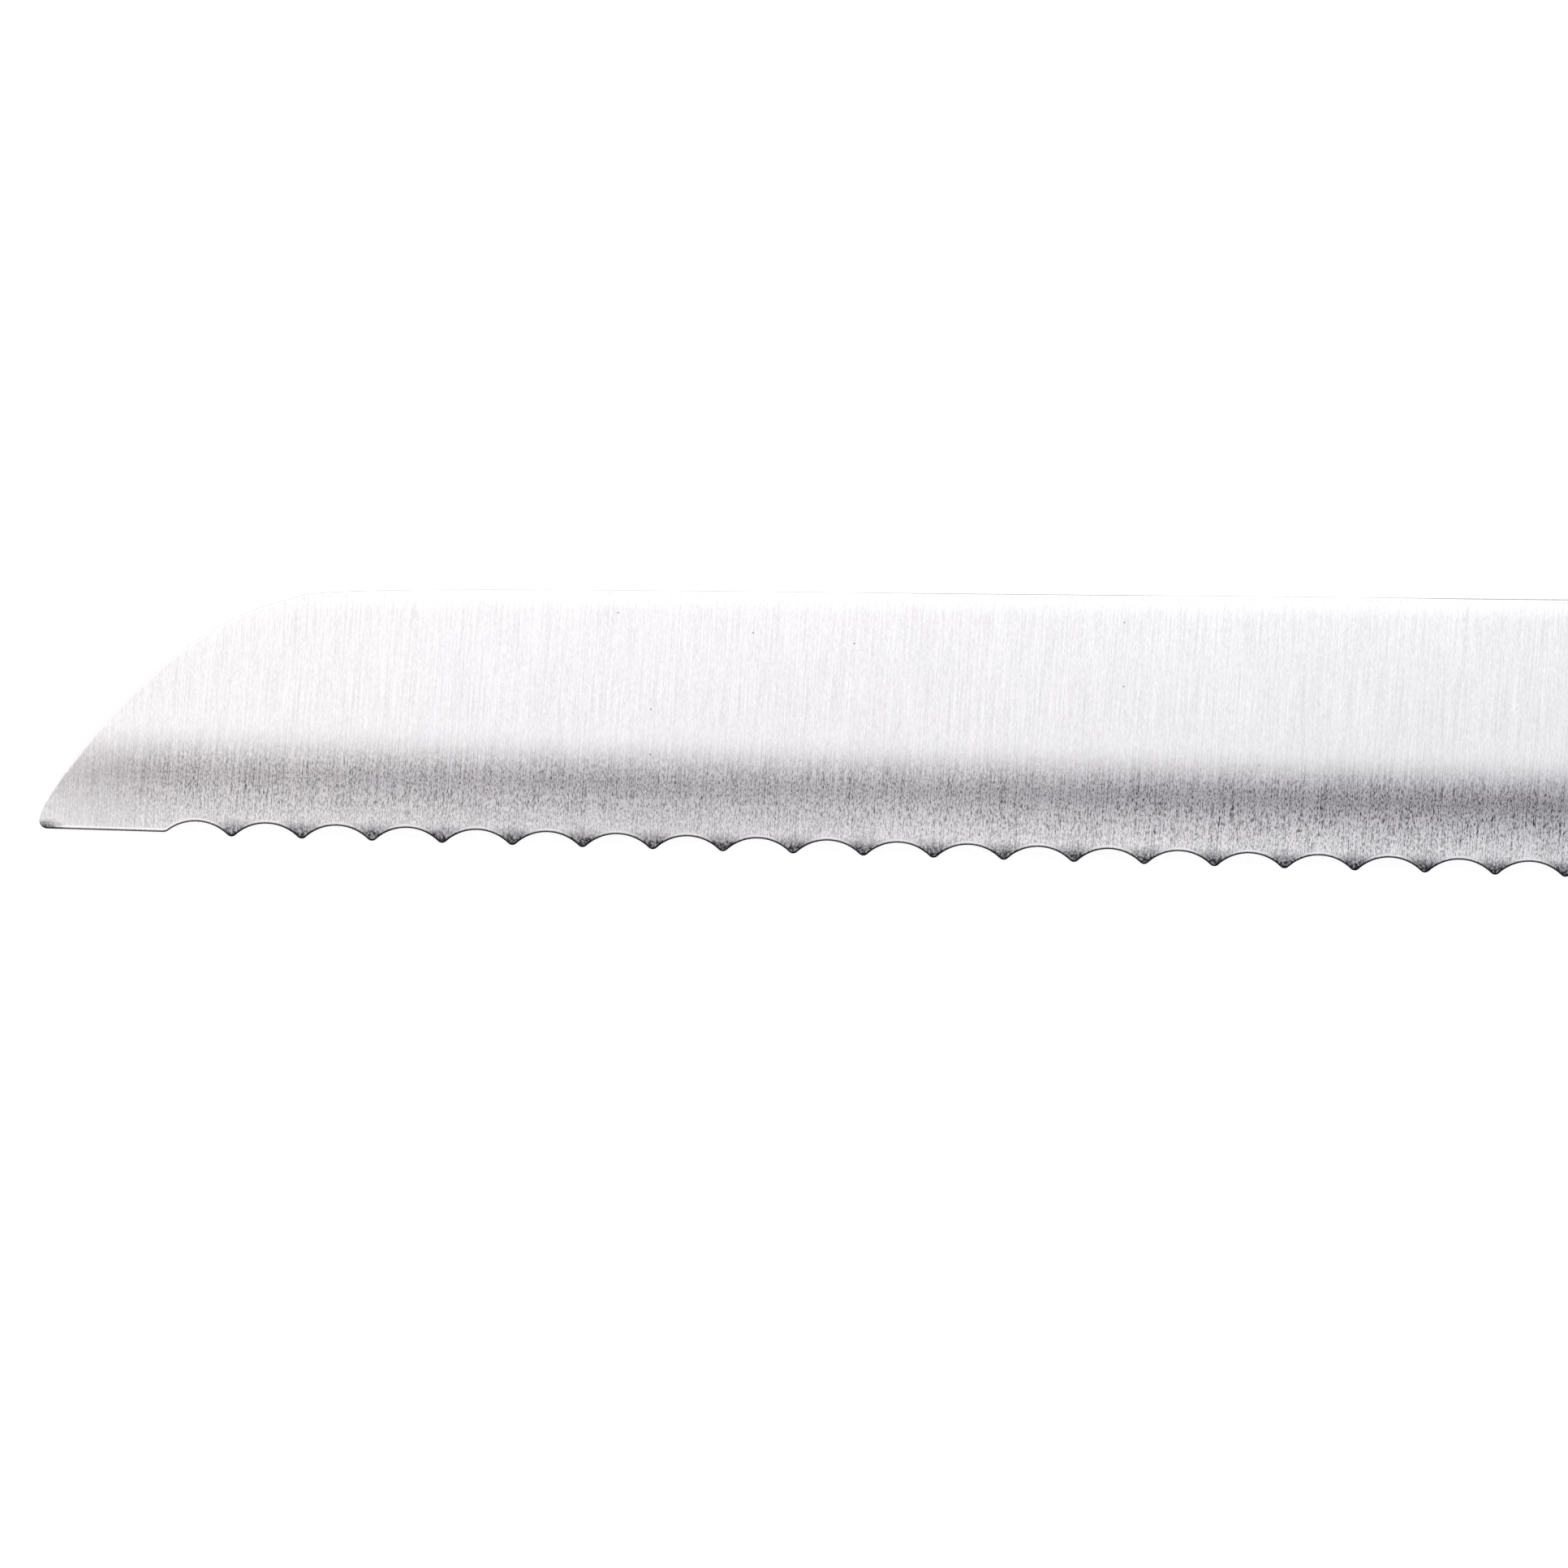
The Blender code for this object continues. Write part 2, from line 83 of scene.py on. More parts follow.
# Spine and flat.
CRISP_SPINE_CORNER = 0.09            # rounding of the spine's long corners
WORN_SPINE_CORNER = 0.22
HALF_WORN_START = (92.0, 104.0)      # places over which a half-worn stretch starts
HALF_WORN_END = (122.0, 134.0)       # and ends
WORN_START = (148.0, 166.0)          # and over which the worn rear starts
SPINE_ROLL_WIDTH = 2.4               # where the flat rolls off towards the spine
SPINE_ROLL_SLOPE = 0.043
CROWN_WIDTH = 15.0                   # the flat is very slightly crowned below the spine
CROWN_SLOPE = 0.007
FLAT_START = (10.0, 45.0)            # roll and crown fade in over the nose

# Scallops: round hollows with small round tooth tips between them.
TOOTH_PITCH = 8.0
FIRST_SCALLOP = 17.9
SCALLOP_COUNT = 28
SCALLOP_RADIUS = 5.2
TIP_RADIUS = 0.65
TIP_FLAT_INSET = 0.28                # the plain edge near the nose stands back from the tooth line
TIP_FLAT_FILLET = 1.0
SCALLOP_LEAN = math.tan(math.radians(20))
PLAIN_EDGE_FACET = 0.05              # how far below the plain edge near the nose its facet starts
HEEL_EDGE_FACET = 0.6                # the same behind the last tooth
FACET_REACH = 4.0                    # most that a facet may climb
LEAST_FACET = 0.012                  # least thickness of a facet, so that the edge isn't a fold

# Wear along the edge, and the painted shade and painted highlight that go with it.
BEVEL_HEIGHT = 2.0                   # buffed final bevel, left standing on the teeth only
BEVEL_DROP = 0.07
BEVEL_START = (12.0, 26.0)           # it fades in behind the plain edge
NOSE_WEAR_AND_SHADE_PLACE = (0.4, -28.2)       # a smaller patch on the nose's lower corner, rounded off and painted darker as shade
NOSE_WEAR_AND_SHADE_REACH = 1.35
NOSE_WEAR_AND_SHADE_PEAK = 1.15
NOSE_WEAR_AND_SHADE_STRETCH = 0.5              # the patch is longer than high
BURR_DROP = 0.035                    # the edge itself turns over a little
BURR_WIDTH = 0.10

# Handle.
BUTT = 370.0
HALF_HANDLE = 9.3
HANDLE_ROUNDING = 4.6
FLANK_CROWN = 0.25                   # how far the flank falls away beside its middle line
BUTT_TURN = 12.0                     # length of the rounded butt
BOLSTER_FRONT = HEEL + 3.0
BOLSTER_REAR = HEEL + 17.0
BOLSTER_NOSE = 4.0
BOLSTER_SLOPE = 6.5
BOLSTER_RUNOUT = 4.0                 # how steeply the slope carries on past the flank
BOLSTER_BLEND = 1.2
SEAM = 0.04                          # visible joint between handle pieces
BROKEN_EDGE = 0.07                   # chamfer round the ends of a handle piece
WALL_RELIEF = 0.05                   # chamfer along a handle piece's inner edges
FIRST_STEP = 0.8                     # from an end to the first evenly spaced section
RIVETS = {"front": (HEEL + 31.0, -11.2), "middle": (HEEL + 68.0, -12.9), "rear": (HEEL + 104.0, -13.2)}
RIVET_HEAD_RADIUS = 4.0
RIVET_HEAD_THICKNESS = 1.6
RIVET_TUBE_RADIUS = 2.5
RIVET_PIN_RADIUS = 1.4
RIVET_SEAT_GAP = 0.05
BOLSTER_PINS = {"upper": (HEEL + 12.6, -6.8), "lower": (HEEL + 12.6, -16.8)}
BOLSTER_PIN_RADIUS = 1.5
PIN_GAP = 0.02
FLUSH = 0.03                         # rivet heads stand this far below the flank
PIN_FLUSH = 0.045
DRILL_REACH = 20.0                   # past the handle's flank
TANG_DRILL_REACH = 3.0               # past the tang's faces

# Blade steel. Brush marks are noise, by its scale along and across the blade, per metre.
STEEL_ALBEDO = 0.78
BRUSH_LEAN = math.tan(math.radians(3.5))
STROKE_SCALE = (7600, 120, 120)
DASH_SCALE = (7200, 2000, 2000)
GRAIN_SCALE = (8500, 2700, 2700)
PATCH_SCALE = (420, 110, 110)
SPECK_SCALE = (3400, 2900, 2900)
PITS_PER_METRE = 260.0
PIT_SIZE = 0.030                     # as a share of the pits' spacing
PIT_RARITY = 0.97                    # share of the places that have no pit
NOSE_GRAIN = (2.0, 20.0)             # the grain comes to full strength behind the tip
REAR_GRAIN = (70.0, 165.0)           # and gets coarser further back
REAR_GRAIN_GAIN = 0.22
EDGE_GRAIN_LOSS = 0.24               # and finer below the steepest place

# Sky, by direction in degrees: tilt is down the blade from the spine, side is along the blade.
SIDE_LIMIT = 25.0
OVERHEAD = 0.862                     # brightness straight overhead
OVERHEAD_SIDE = -0.0125              # and how it changes with side
FALL = 0.0450                        # how fast it falls with tilt
FALL_SIDE = 0.0018
NEAR_SKY_RANGE = (0.025, 1.25)
RED_TINT = (0.066, -0.032)           # added to red, from one side to the other
BLUE_TINT = (-0.016, 0.056)
FAR_SKY_START = (20.0, 42.0)         # angle from overhead over which the surroundings take over
FAR_SKY = [
    (0.0, (0.22,)), (0.12, (0.34,)), (0.28, (0.78,)), (0.42, (1.0,)), (0.5, (0.85,)),
    (0.60, (0.05,)), (0.70, (0.06,)), (0.80, (0.42,)), (0.88, (0.50,)), (1.0, (0.22,)),
]
FLOOR_HALF_WIDTH = 3.0               # metres
FLOOR_GLOW = 0.55

# Picture: what the camera sees.
VIEW_WIDTH = 178.5
VIEW_CENTRE = (84.80, -21.91)
VIEW_ROLL = 0.0096                   # radians
LENS = 200.0
SENSOR = 36.0

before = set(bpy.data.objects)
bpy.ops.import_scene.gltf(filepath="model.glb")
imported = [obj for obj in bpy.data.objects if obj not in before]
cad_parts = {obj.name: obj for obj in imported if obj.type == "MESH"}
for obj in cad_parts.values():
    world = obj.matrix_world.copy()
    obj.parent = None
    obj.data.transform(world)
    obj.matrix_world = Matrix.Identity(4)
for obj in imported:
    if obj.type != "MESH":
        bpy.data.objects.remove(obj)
cad_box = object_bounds()
blade_low, blade_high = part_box("blade")
TIP_X = blade_low[0]
SPINE_Y = blade_high[1]
MID_Z = (blade_low[2] + blade_high[2]) / 2


# ---------------------------------------- geometry helpers

def to_world(points):
    """Millimetres from the tip and the spine to metres in the shared frame."""
    points = np.asarray(points, dtype=float)
    world = points * MM
    world[..., 0] += TIP_X
    world[..., 1] += SPINE_Y
    world[..., 2] += MID_Z
    return world


def smooth_step(low, high, value):
    t = np.clip((value - low) / (high - low), 0.0, 1.0)
    return t * t * (3.0 - 2.0 * t)


def near_to_back(pair, places, x):
    """A value that changes from the first of a pair to the second between two places on the blade."""
    near, back = pair
    return near + (back - near) * smooth_step(*places, x)


def bezier(start, start_handle, end_handle, end, count=60):
    t = np.linspace(0.0, 1.0, count)[:, None]
    a, b, c, d = (np.array(point, dtype=float) for point in (start, start_handle, end_handle, end))
    return (1 - t) ** 3 * a + 3 * (1 - t) ** 2 * t * b + 3 * (1 - t) * t ** 2 * c + t ** 3 * d


def quarter_turn(count):
    return np.linspace(0.0, QUARTER_TURN, count)


def new_object(name, vertices, faces):
    mesh = bpy.data.meshes.new(name)
    mesh.from_pydata([tuple(v) for v in vertices], [], faces)
    mesh.update()
    thing = bpy.data.objects.new(name, mesh)
    bpy.context.scene.collection.objects.link(thing)
    return thing


def shade_smooth(thing, angle_degrees):
    """Smooth shading, with edges sharper than the angle kept crisp."""
    mesh = thing.data
    solid = bmesh.new()
    solid.from_mesh(mesh)
    for face in solid.faces:
        face.smooth = True
    limit = math.radians(angle_degrees)
    for edge in solid.edges:
        edge.smooth = not (edge.is_manifold and edge.calc_face_angle(0.0) > limit)
    solid.to_mesh(mesh)
    solid.free()


def face_outward(solid):
    bmesh.ops.recalc_face_normals(solid, faces=solid.faces)
    if solid.calc_volume(signed=True) < 0.0:
        bmesh.ops.reverse_faces(solid, faces=solid.faces)


def clean(piece, angle_degrees, drop_slivers=True):
    """Merge doubled points, turn every face outwards and set the shading."""
    solid = bmesh.new()
    solid.from_mesh(piece.data)
    bmesh.ops.remove_doubles(solid, verts=solid.verts, dist=1e-7)
    if drop_slivers:
        bmesh.ops.dissolve_degenerate(solid, edges=solid.edges, dist=1e-8)
    face_outward(solid)
    solid.to_mesh(piece.data)
    solid.free()
    shade_smooth(piece, angle_degrees)


def float_attribute(thing, name, values):
    layer = thing.data.attributes.new(name, "FLOAT", "POINT")
    layer.data.foreach_set("value", np.asarray(values, dtype=np.float32).ravel())


def tube_faces(columns, rows):
    """Quads round a tube whose sections are closed loops, with a cap at each end."""
    faces = []
    for column in range(columns - 1):
        here = column * rows
        there = here + rows
        for row in range(rows):
            after = (row + 1) % rows
            faces.append((here + row, there + row, there + after, here + after))
    faces.append(tuple(range(rows)))
    faces.append(tuple(reversed(range((columns - 1) * rows, columns * rows))))
    return faces


# ---------------------------------------- blade outline

def tooth_line(x):
    return -(EDGE_DROP_AT_TIP + EDGE_TAPER * x)


def scallop_centre_drop():
    """Height of each scallop circle's centre, with the tooth tips on the tooth line."""
    reach = SCALLOP_RADIUS + TIP_RADIUS
    return TIP_RADIUS - math.sqrt(reach ** 2 - (TOOTH_PITCH / 2) ** 2)


SCALLOP_CENTRE = scallop_centre_drop()
TIP_CONTACT = TIP_RADIUS * (TOOTH_PITCH / 2) / (SCALLOP_RADIUS + TIP_RADIUS)
FIRST_TIP = FIRST_SCALLOP + TOOTH_PITCH / 2
LAST_TIP = FIRST_SCALLOP + (SCALLOP_COUNT - 0.5) * TOOTH_PITCH
FILLET_REACH = math.sqrt(
    (SCALLOP_RADIUS + TIP_FLAT_FILLET) ** 2 - (TIP_FLAT_INSET + TIP_FLAT_FILLET - SCALLOP_CENTRE) ** 2
)
FILLET_START = FIRST_SCALLOP - FILLET_REACH
FILLET_END = FILLET_START + TIP_FLAT_FILLET * FILLET_REACH / (SCALLOP_RADIUS + TIP_FLAT_FILLET)

NOSE_FRONT = (0.0, -26.75)
NOSE_LOWER = (0.95, tooth_line(0.95) + TIP_FLAT_INSET)
NOSE_MIDDLE = (28.15, -1.40)
nose_corner = bezier(NOSE_FRONT, (0.0, -27.4), (0.42, NOSE_LOWER[1] + 0.01), NOSE_LOWER)
nose_rise = bezier(NOSE_FRONT, (0.0, -24.25), (13.25, -4.7), NOSE_MIDDLE, 200)
nose_crest = bezier(NOSE_MIDDLE, (30.6, -0.86), (26.0, 0.0), (71.3, 0.0), 200)
nose_top = np.vstack([nose_rise, nose_crest[1:]])


def top_line(x):
    """The blade's upper outline: the nose curve, then the spine."""
    return np.interp(x, nose_top[:, 0], nose_top[:, 1], right=0.0)


def scallop_line(x):
    """The circles that the scallops are ground along, above the tooth line; far down between them."""
    x = np.asarray(x, dtype=float)
    index = np.clip(np.round((x - FIRST_SCALLOP) / TOOTH_PITCH), 0, SCALLOP_COUNT - 1)
    across = np.clip(np.abs(x - FIRST_SCALLOP - index * TOOTH_PITCH), 0.0, SCALLOP_RADIUS - 0.05)
    return SCALLOP_CENTRE + np.sqrt(SCALLOP_RADIUS ** 2 - across ** 2)


def tip_offset(x):
    """Distance along the blade from the nearest tooth tip."""
    index = np.clip(np.round((x - FIRST_TIP) / TOOTH_PITCH), 0, SCALLOP_COUNT - 1)
    return x - (FIRST_TIP + index * TOOTH_PITCH)


def edge_height(x):
    """The cutting outline above the tooth line, for one place along the blade."""
    if x < FILLET_START:
        return TIP_FLAT_INSET
    if x < FILLET_END:
        rise = math.sqrt(TIP_FLAT_FILLET ** 2 - (x - FILLET_START) ** 2)
        return TIP_FLAT_INSET + TIP_FLAT_FILLET - rise
    if x > LAST_TIP:
        return 0.0
    across = float(tip_offset(x))
    if abs(across) < TIP_CONTACT:
        return TIP_RADIUS - math.sqrt(TIP_RADIUS ** 2 - across ** 2)
    return float(scallop_line(x))


def blade_bottom(x):
    """The blade's lower outline at one place, with the rounded nose and heel corners."""
    if x < NOSE_LOWER[0]:
        return float(np.interp(x, nose_corner[:, 0], nose_corner[:, 1]))
    base = tooth_line(x) + edge_height(x)
    past = x - (HEEL - HEEL_CORNER)
    if past > 0.0:
        base += HEEL_CORNER - math.sqrt(max(HEEL_CORNER ** 2 - past ** 2, 0.0))
    return base


def handle_spans():
    """The handle's upper and lower outline, each from the heel to the butt."""
    top_rear = (HEEL + 114.0, -1.9)
    butt = (BUTT, -13.5)
    hook = (HEEL + 120.0, -29.2)
    neck = (HEEL + 98.0, -25.0)
    palm = (HEEL + 64.0, -26.0)
    groove = (HEEL + 27.0, -22.2)
    front = (HEEL + 3.0, -24.0)
    upper = [
        bezier((205.0, 0.0), (HEEL + 30.0, 0.0), (HEEL + 86.0, 0.0), top_rear),
        bezier(top_rear, (HEEL + 122.0, -2.9), (BUTT, -6.0), butt),
    ]
    lower = [
        bezier(front, (HEEL + 9.0, -23.3), (HEEL + 18.0, -22.2), groove),
        bezier(groove, (HEEL + 39.0, -22.2), (HEEL + 50.0, -26.0), palm),
        bezier(palm, (HEEL + 78.0, -26.0), (HEEL + 88.0, -25.0), neck),
        bezier(neck, (HEEL + 107.0, -25.0), (HEEL + 112.0, -29.2), hook),
        bezier(hook, (HEEL + 127.5, -29.2), (BUTT, -21.0), butt),
    ]
    return np.vstack(upper), np.vstack(lower)


handle_upper, handle_lower = handle_spans()


def handle_top(x):
    return np.interp(x, handle_upper[:, 0], handle_upper[:, 1])


def handle_bottom(x):
    return np.interp(x, handle_lower[:, 0], handle_lower[:, 1])


def handle_columns(start, spacing=1.2):
    """Places along the handle, closer together towards the rounded butt."""
    straight = np.arange(start, BUTT - BUTT_TURN, spacing)
    turn = BUTT - BUTT_TURN + BUTT_TURN * np.sin(quarter_turn(26))
    return np.append(straight, turn)


# ---------------------------------------- blade surface

def grind_profile(x):
    """Slope against place: -1 is the edge, 0 the steepest place and 1 the end of the shoulder."""
    place = np.linspace(-1.0, 1.0, 801)
    share = near_to_back(GRIND_EDGE_SHARE, GRIND_SHAPE_CHANGE, x)
    hollow = near_to_back(GRIND_HOLLOW, GRIND_SHAPE_CHANGE, x)
    lower = share + (1.0 - share) * (1.0 + place) ** hollow
    bend = smooth_step(SHOULDER_BEND, 1.0, 0.0)
    upper = 1.0 - smooth_step(SHOULDER_BEND, 1.0, place) + bend * (1.0 - place)
    return place, np.where(place < 0.0, lower, upper)


def steepest_height(x):
    return GRIND_STEEPEST + GRIND_WIDENING * x


def grind_relief(x, height):
    """How far each side of the blade is ground away at a height above the tooth line."""
    place, slope = grind_profile(x)
    steepest = steepest_height(x)
    length = np.where(place < 0.0, steepest, GRIND_SHOULDER)
    steps = (slope[1:] * length[1:] + slope[:-1] * length[:-1]) / 2 * (place[1] - place[0])
    depth = np.append(np.cumsum(steps[::-1])[::-1], 0.0)
    full_depth = (HALF_SPINE - HALF_EDGE) * near_to_back(GRIND_DEPTH_SHARE, GRIND_DEPTH_CHANGE, x)
    depth *= full_depth / depth[0]
    in_shoulder = 1.0 + (height - steepest) / GRIND_SHOULDER
    where = np.where(height < steepest, height / steepest, in_shoulder) - 1.0
    return np.interp(where, place, depth)


def face_height(x, y, top):
    """Half the blade's thickness, from its middle plane, with the nose thinned and the spine rolled off."""
    full = NOSE_GRIND + (1.0 - NOSE_GRIND) * smooth_step(0.0, NOSE_REACH, x)
    relief = grind_relief(x, y - tooth_line(x))
    thinning = (1.0 - full) * (HALF_SPINE - HALF_EDGE) * NOSE_THINNING
    below = np.maximum(top - y, 0.0)
    roll = np.maximum(SPINE_ROLL_WIDTH - below, 0.0) ** 2 * SPINE_ROLL_SLOPE / (2 * SPINE_ROLL_WIDTH)
    crown = np.maximum(CROWN_WIDTH - below, 0.0) ** 2 * CROWN_SLOPE / (2 * CROWN_WIDTH)
    return HALF_SPINE - full * relief - thinning - (roll + crown) * smooth_step(*FLAT_START, x)


def spine_rounding(x):
    """The spine's long corners: crisp at the front, half worn in one stretch and worn at the rear."""
    stretch = smooth_step(*HALF_WORN_START, x) - smooth_step(*HALF_WORN_END, x)
    worn = 0.5 * stretch + smooth_step(*WORN_START, x)
    return CRISP_SPINE_CORNER + (WORN_SPINE_CORNER - CRISP_SPINE_CORNER) * float(worn)


def tip_wear_and_shade(x, y):
    """1 at the end of each tooth and at the nose's lower corner, falling to 0 above them: where the edge is
    buffed down, and where the blade material paints shade.
    """
    height = y - tooth_line(x)
    bevel = np.clip(1.0 - height / BEVEL_HEIGHT, 0.0, 1.0) * smooth_step(*BEVEL_START, x)
    along = (x - NOSE_WEAR_AND_SHADE_PLACE[0]) * NOSE_WEAR_AND_SHADE_STRETCH
    corner = NOSE_WEAR_AND_SHADE_PEAK - np.hypot(along, y - NOSE_WEAR_AND_SHADE_PLACE[1]) / NOSE_WEAR_AND_SHADE_REACH
    return np.maximum(bevel, np.clip(corner, 0.0, 1.0))


# ---------------------------------------- blade sections

FULL_SPACING_HEIGHT = 9.0            # a shorter section has its rows closer together
EDGE_ROWS = np.array([0.0, 0.05, 0.11, 0.18, 0.27, 0.42, 0.66, 1.0, 1.45])
MIDDLE_START = 2.4                   # the evenly spaced rows start this far above the tooth line
MIDDLE_ROWS = np.linspace(0.0, 1.0, 34)
SPINE_ROWS = np.array([2.4, 1.9, 1.4, 1.0, 0.66, 0.4])
FACET_ROWS = np.linspace(0.0, 1.0, 7)[::-1]
SQUARE_EDGE_ROW = 0.02               # share of a square edge's section that the facet's rows take


def blade_places():
    """Places along the blade for the mesh's sections: close together where the outline turns."""
    nose = NOSE_LOWER[0] * (1 - np.cos(quarter_turn(12)))
    front = np.arange(1.4, FILLET_START - 0.2, 0.55)
    fillet = np.linspace(FILLET_START, FILLET_END, 6)
    places = [nose, front, fillet]
    reach = math.asin(TOOTH_PITCH / 2 / (SCALLOP_RADIUS + TIP_RADIUS))
    for index in range(SCALLOP_COUNT):
        centre = FIRST_SCALLOP + index * TOOTH_PITCH
        arc = centre + SCALLOP_RADIUS * np.sin(np.linspace(-reach, reach, 19))
        arc = arc[arc > FILLET_END + 0.05]
        tip = centre + TOOTH_PITCH / 2 + TIP_RADIUS * np.sin(np.linspace(-reach, reach, 8)[1:-1])
        places += [arc, tip]
    places.append(HEEL - HEEL_CORNER + HEEL_CORNER * np.sin(quarter_turn(7)))
    return np.concatenate(places)


def edge_lean(x):
    """How much further apart rows are upwards than straight out from a sloping lower outline."""
    if not 1.0 < x < HEEL - HEEL_CORNER:
        return 1.0
    step = 0.02
    slope = (blade_bottom(x + step) - blade_bottom(x - step)) / (2 * step)
    return min(math.sqrt(1.0 + slope ** 2), 1.6)


def left_side_rows(x, bottom, top, lean):
    """Heights of one section's points on the left face, from the edge up to the spine's corner."""
    room = top - bottom
    scale = min(1.0, room / FULL_SPACING_HEIGHT)
    edge = bottom + EDGE_ROWS * scale * lean
    if room > FULL_SPACING_HEIGHT:
        lower = min(tooth_line(x) + MIDDLE_START, top)
    else:
        lower = bottom + MIDDLE_START * scale
    lower = max(lower, edge[-1] + 0.1 * scale)
    upper = top - SPINE_ROWS[0] * scale
    middle = lower + (upper - lower) * MIDDLE_ROWS
    spine = top - SPINE_ROWS[1:] * scale
    return np.concatenate([edge, middle, spine])


def half_thickness(x, rows, top, half_flat):
    """Half the ground blade's thickness at each row, or the tang's even one."""
    return face_height(x, rows, top) if half_flat is None else np.full(len(rows), half_flat)


def spine_corner(x, bottom, top, half):
    """The left face's rounded corner with the spine, from the face up."""
    corner = min(spine_rounding(x), 0.6 * half, 0.4 * (top - bottom))
    turn = quarter_turn(6)
    return np.column_stack([top - corner + corner * np.sin(turn), half - corner + corner * np.cos(turn)])


def facet_foot(x, bottom):
    """Height at which the facet ground into the right face starts, on the left face's side."""
    if x > LAST_TIP + HEEL_EDGE_FACET:
        return bottom - HEEL_EDGE_FACET
    if FILLET_END < x < LAST_TIP:
        return tooth_line(x) + float(scallop_line(x))
    return bottom - PLAIN_EDGE_FACET


def ground_facet(x, bottom, top, edge_z):
    """The facet's upper end, and its points from there down to the edge."""
    foot = facet_foot(x, bottom)
    high = np.linspace(0.0, 1.0, 400) * min(FACET_REACH, (top - bottom) * 0.9) + bottom
    facet = edge_z - (high - foot) * SCALLOP_LEAN
    outside = facet <= -face_height(x, high, top)
    crossing = high[int(np.argmax(outside)) or len(high) - 1]
    rows = bottom + (crossing - bottom) * FACET_ROWS
    z = np.minimum(edge_z - (rows - foot) * SCALLOP_LEAN, edge_z - LEAST_FACET)
    return crossing, np.column_stack([rows, z])


def square_edge(bottom, top, half):
    """The same rows behind the heel, where the edge is square and they lie close together."""
    crossing = bottom + SQUARE_EDGE_ROW * (top - bottom)
    rows = bottom + (crossing - bottom) * FACET_ROWS
    return crossing, np.column_stack([rows, np.full(len(rows), -half)])


def section_marks(x, loop, rows, rim):
    """What the material needs to know at each point of a section: grind, wear with painted shade, and
    distance to the edge.
    """
    steepest = steepest_height(x)
    above = loop[:, 0] - tooth_line(x)
    grain = smooth_step(steepest + GRIND_SHOULDER, steepest, above)
    grain = grain * (1.0 - EDGE_GRAIN_LOSS * smooth_step(0.8 * steepest, 0.2 * steepest, above))
    strength = 0.5 + 0.5 * smooth_step(*NOSE_GRAIN, x) + REAR_GRAIN_GAIN * smooth_step(*REAR_GRAIN, x)
    marks = np.zeros((len(loop), 3))
    marks[:, 0] = grain * strength
    marks[:len(rows), 1] = tip_wear_and_shade(x, rows)
    marks[:, 2] = 1.0
    if rim is not None:
        marks[:len(rows), 2] = np.clip(rim, 0.0, 1.0)
    return marks


def blade_section(x, bottom, top, half_flat=None):
    """One closed section of the blade: up the left face, over the spine and down the right face."""
    lean = edge_lean(x)
    rows = left_side_rows(x, bottom, top, lean)
    rim = (rows - bottom) / lean
    half = half_thickness(x, rows, top, half_flat)
    left = half - (BEVEL_DROP * tip_wear_and_shade(x, rows) ** 2 if half_flat is None else 0.0)
    left = left - BURR_DROP * np.clip(1.0 - rim / BURR_WIDTH, 0.0, 1.0) ** 2
    left_corner = spine_corner(x, bottom, top, float(half[-1]))
    right_corner = left_corner[::-1] * np.array([1.0, -1.0])
    sharpened = half_flat is None and x <= HEEL
    if sharpened:
        crossing, edge = ground_facet(x, bottom, top, left[0])
    else:
        crossing, edge = square_edge(bottom, top, float(half[0]))
    plain_rows = np.maximum(rows[len(EDGE_ROWS):], crossing)[::-1]
    plain = np.column_stack([plain_rows, -half_thickness(x, plain_rows, top, half_flat)])
    loop = np.vstack([np.column_stack([rows, left]), left_corner, right_corner, plain, edge])
    points = np.column_stack([np.full(len(loop), x), loop])
    return points, section_marks(x, loop, rows, rim if sharpened else None)


def ground_sections():
    sections = []
    for x in blade_places():
        bottom = blade_bottom(x)
        top = max(float(top_line(x)), bottom + LEAST_HEIGHT)
        sections.append(blade_section(x, bottom, top))
    return sections


def choil_sections():
    """The rounded notch between the heel and the tang, a hair behind the heel's last section."""
    sections = []
    for x in HEEL + CHOIL_RADIUS * (1 - np.cos(quarter_turn(6))):
        arc = math.sqrt(max(CHOIL_RADIUS ** 2 - (HEEL + CHOIL_RADIUS - x) ** 2, 0.0))
        sections.append(blade_section(x + 0.005, TANG_BOTTOM - CHOIL_RADIUS + arc, float(top_line(x))))
    sections.append(blade_section(TANG_START, TANG_BOTTOM, float(top_line(TANG_START))))
    return sections


def tang_sections():
    """The tang, which follows the handle's outline from the bolster on."""
    sections = []
    front = [TANG_START + 0.06, BOLSTER_FRONT]
    for x in np.concatenate([front, handle_columns(BOLSTER_FRONT + FIRST_STEP)]):
        bottom = float(handle_bottom(x)) if x > BOLSTER_FRONT else TANG_BOTTOM
        top = max(float(handle_top(x)), bottom + LEAST_HEIGHT)
        sections.append(blade_section(x, bottom, top, HALF_TANG))
    return sections


def build_blade():
    sections = ground_sections() + choil_sections() + tang_sections()
    points = np.array([section[0] for section in sections])
    marks = np.array([section[1] for section in sections])
    faces = tube_faces(len(sections), points.shape[1])
    blade = new_object("blade_steel", to_world(points.reshape(-1, 3)), faces)
    for index, name in enumerate(("grind", "wear_and_shade", "rim")):
        float_attribute(blade, name, marks[:, :, index])
    clean(blade, 30, drop_slivers=False)
    for place in RIVETS.values():
        drill(blade, place, RIVET_TUBE_RADIUS + SEAM, -TANG_DRILL_REACH, TANG_DRILL_REACH)
    for place in BOLSTER_PINS.values():
        drill(blade, place, BOLSTER_PIN_RADIUS + PIN_GAP, -TANG_DRILL_REACH, TANG_DRILL_REACH)
    shade_smooth(blade, 30)
    return blade


# ---------------------------------------- handle pieces

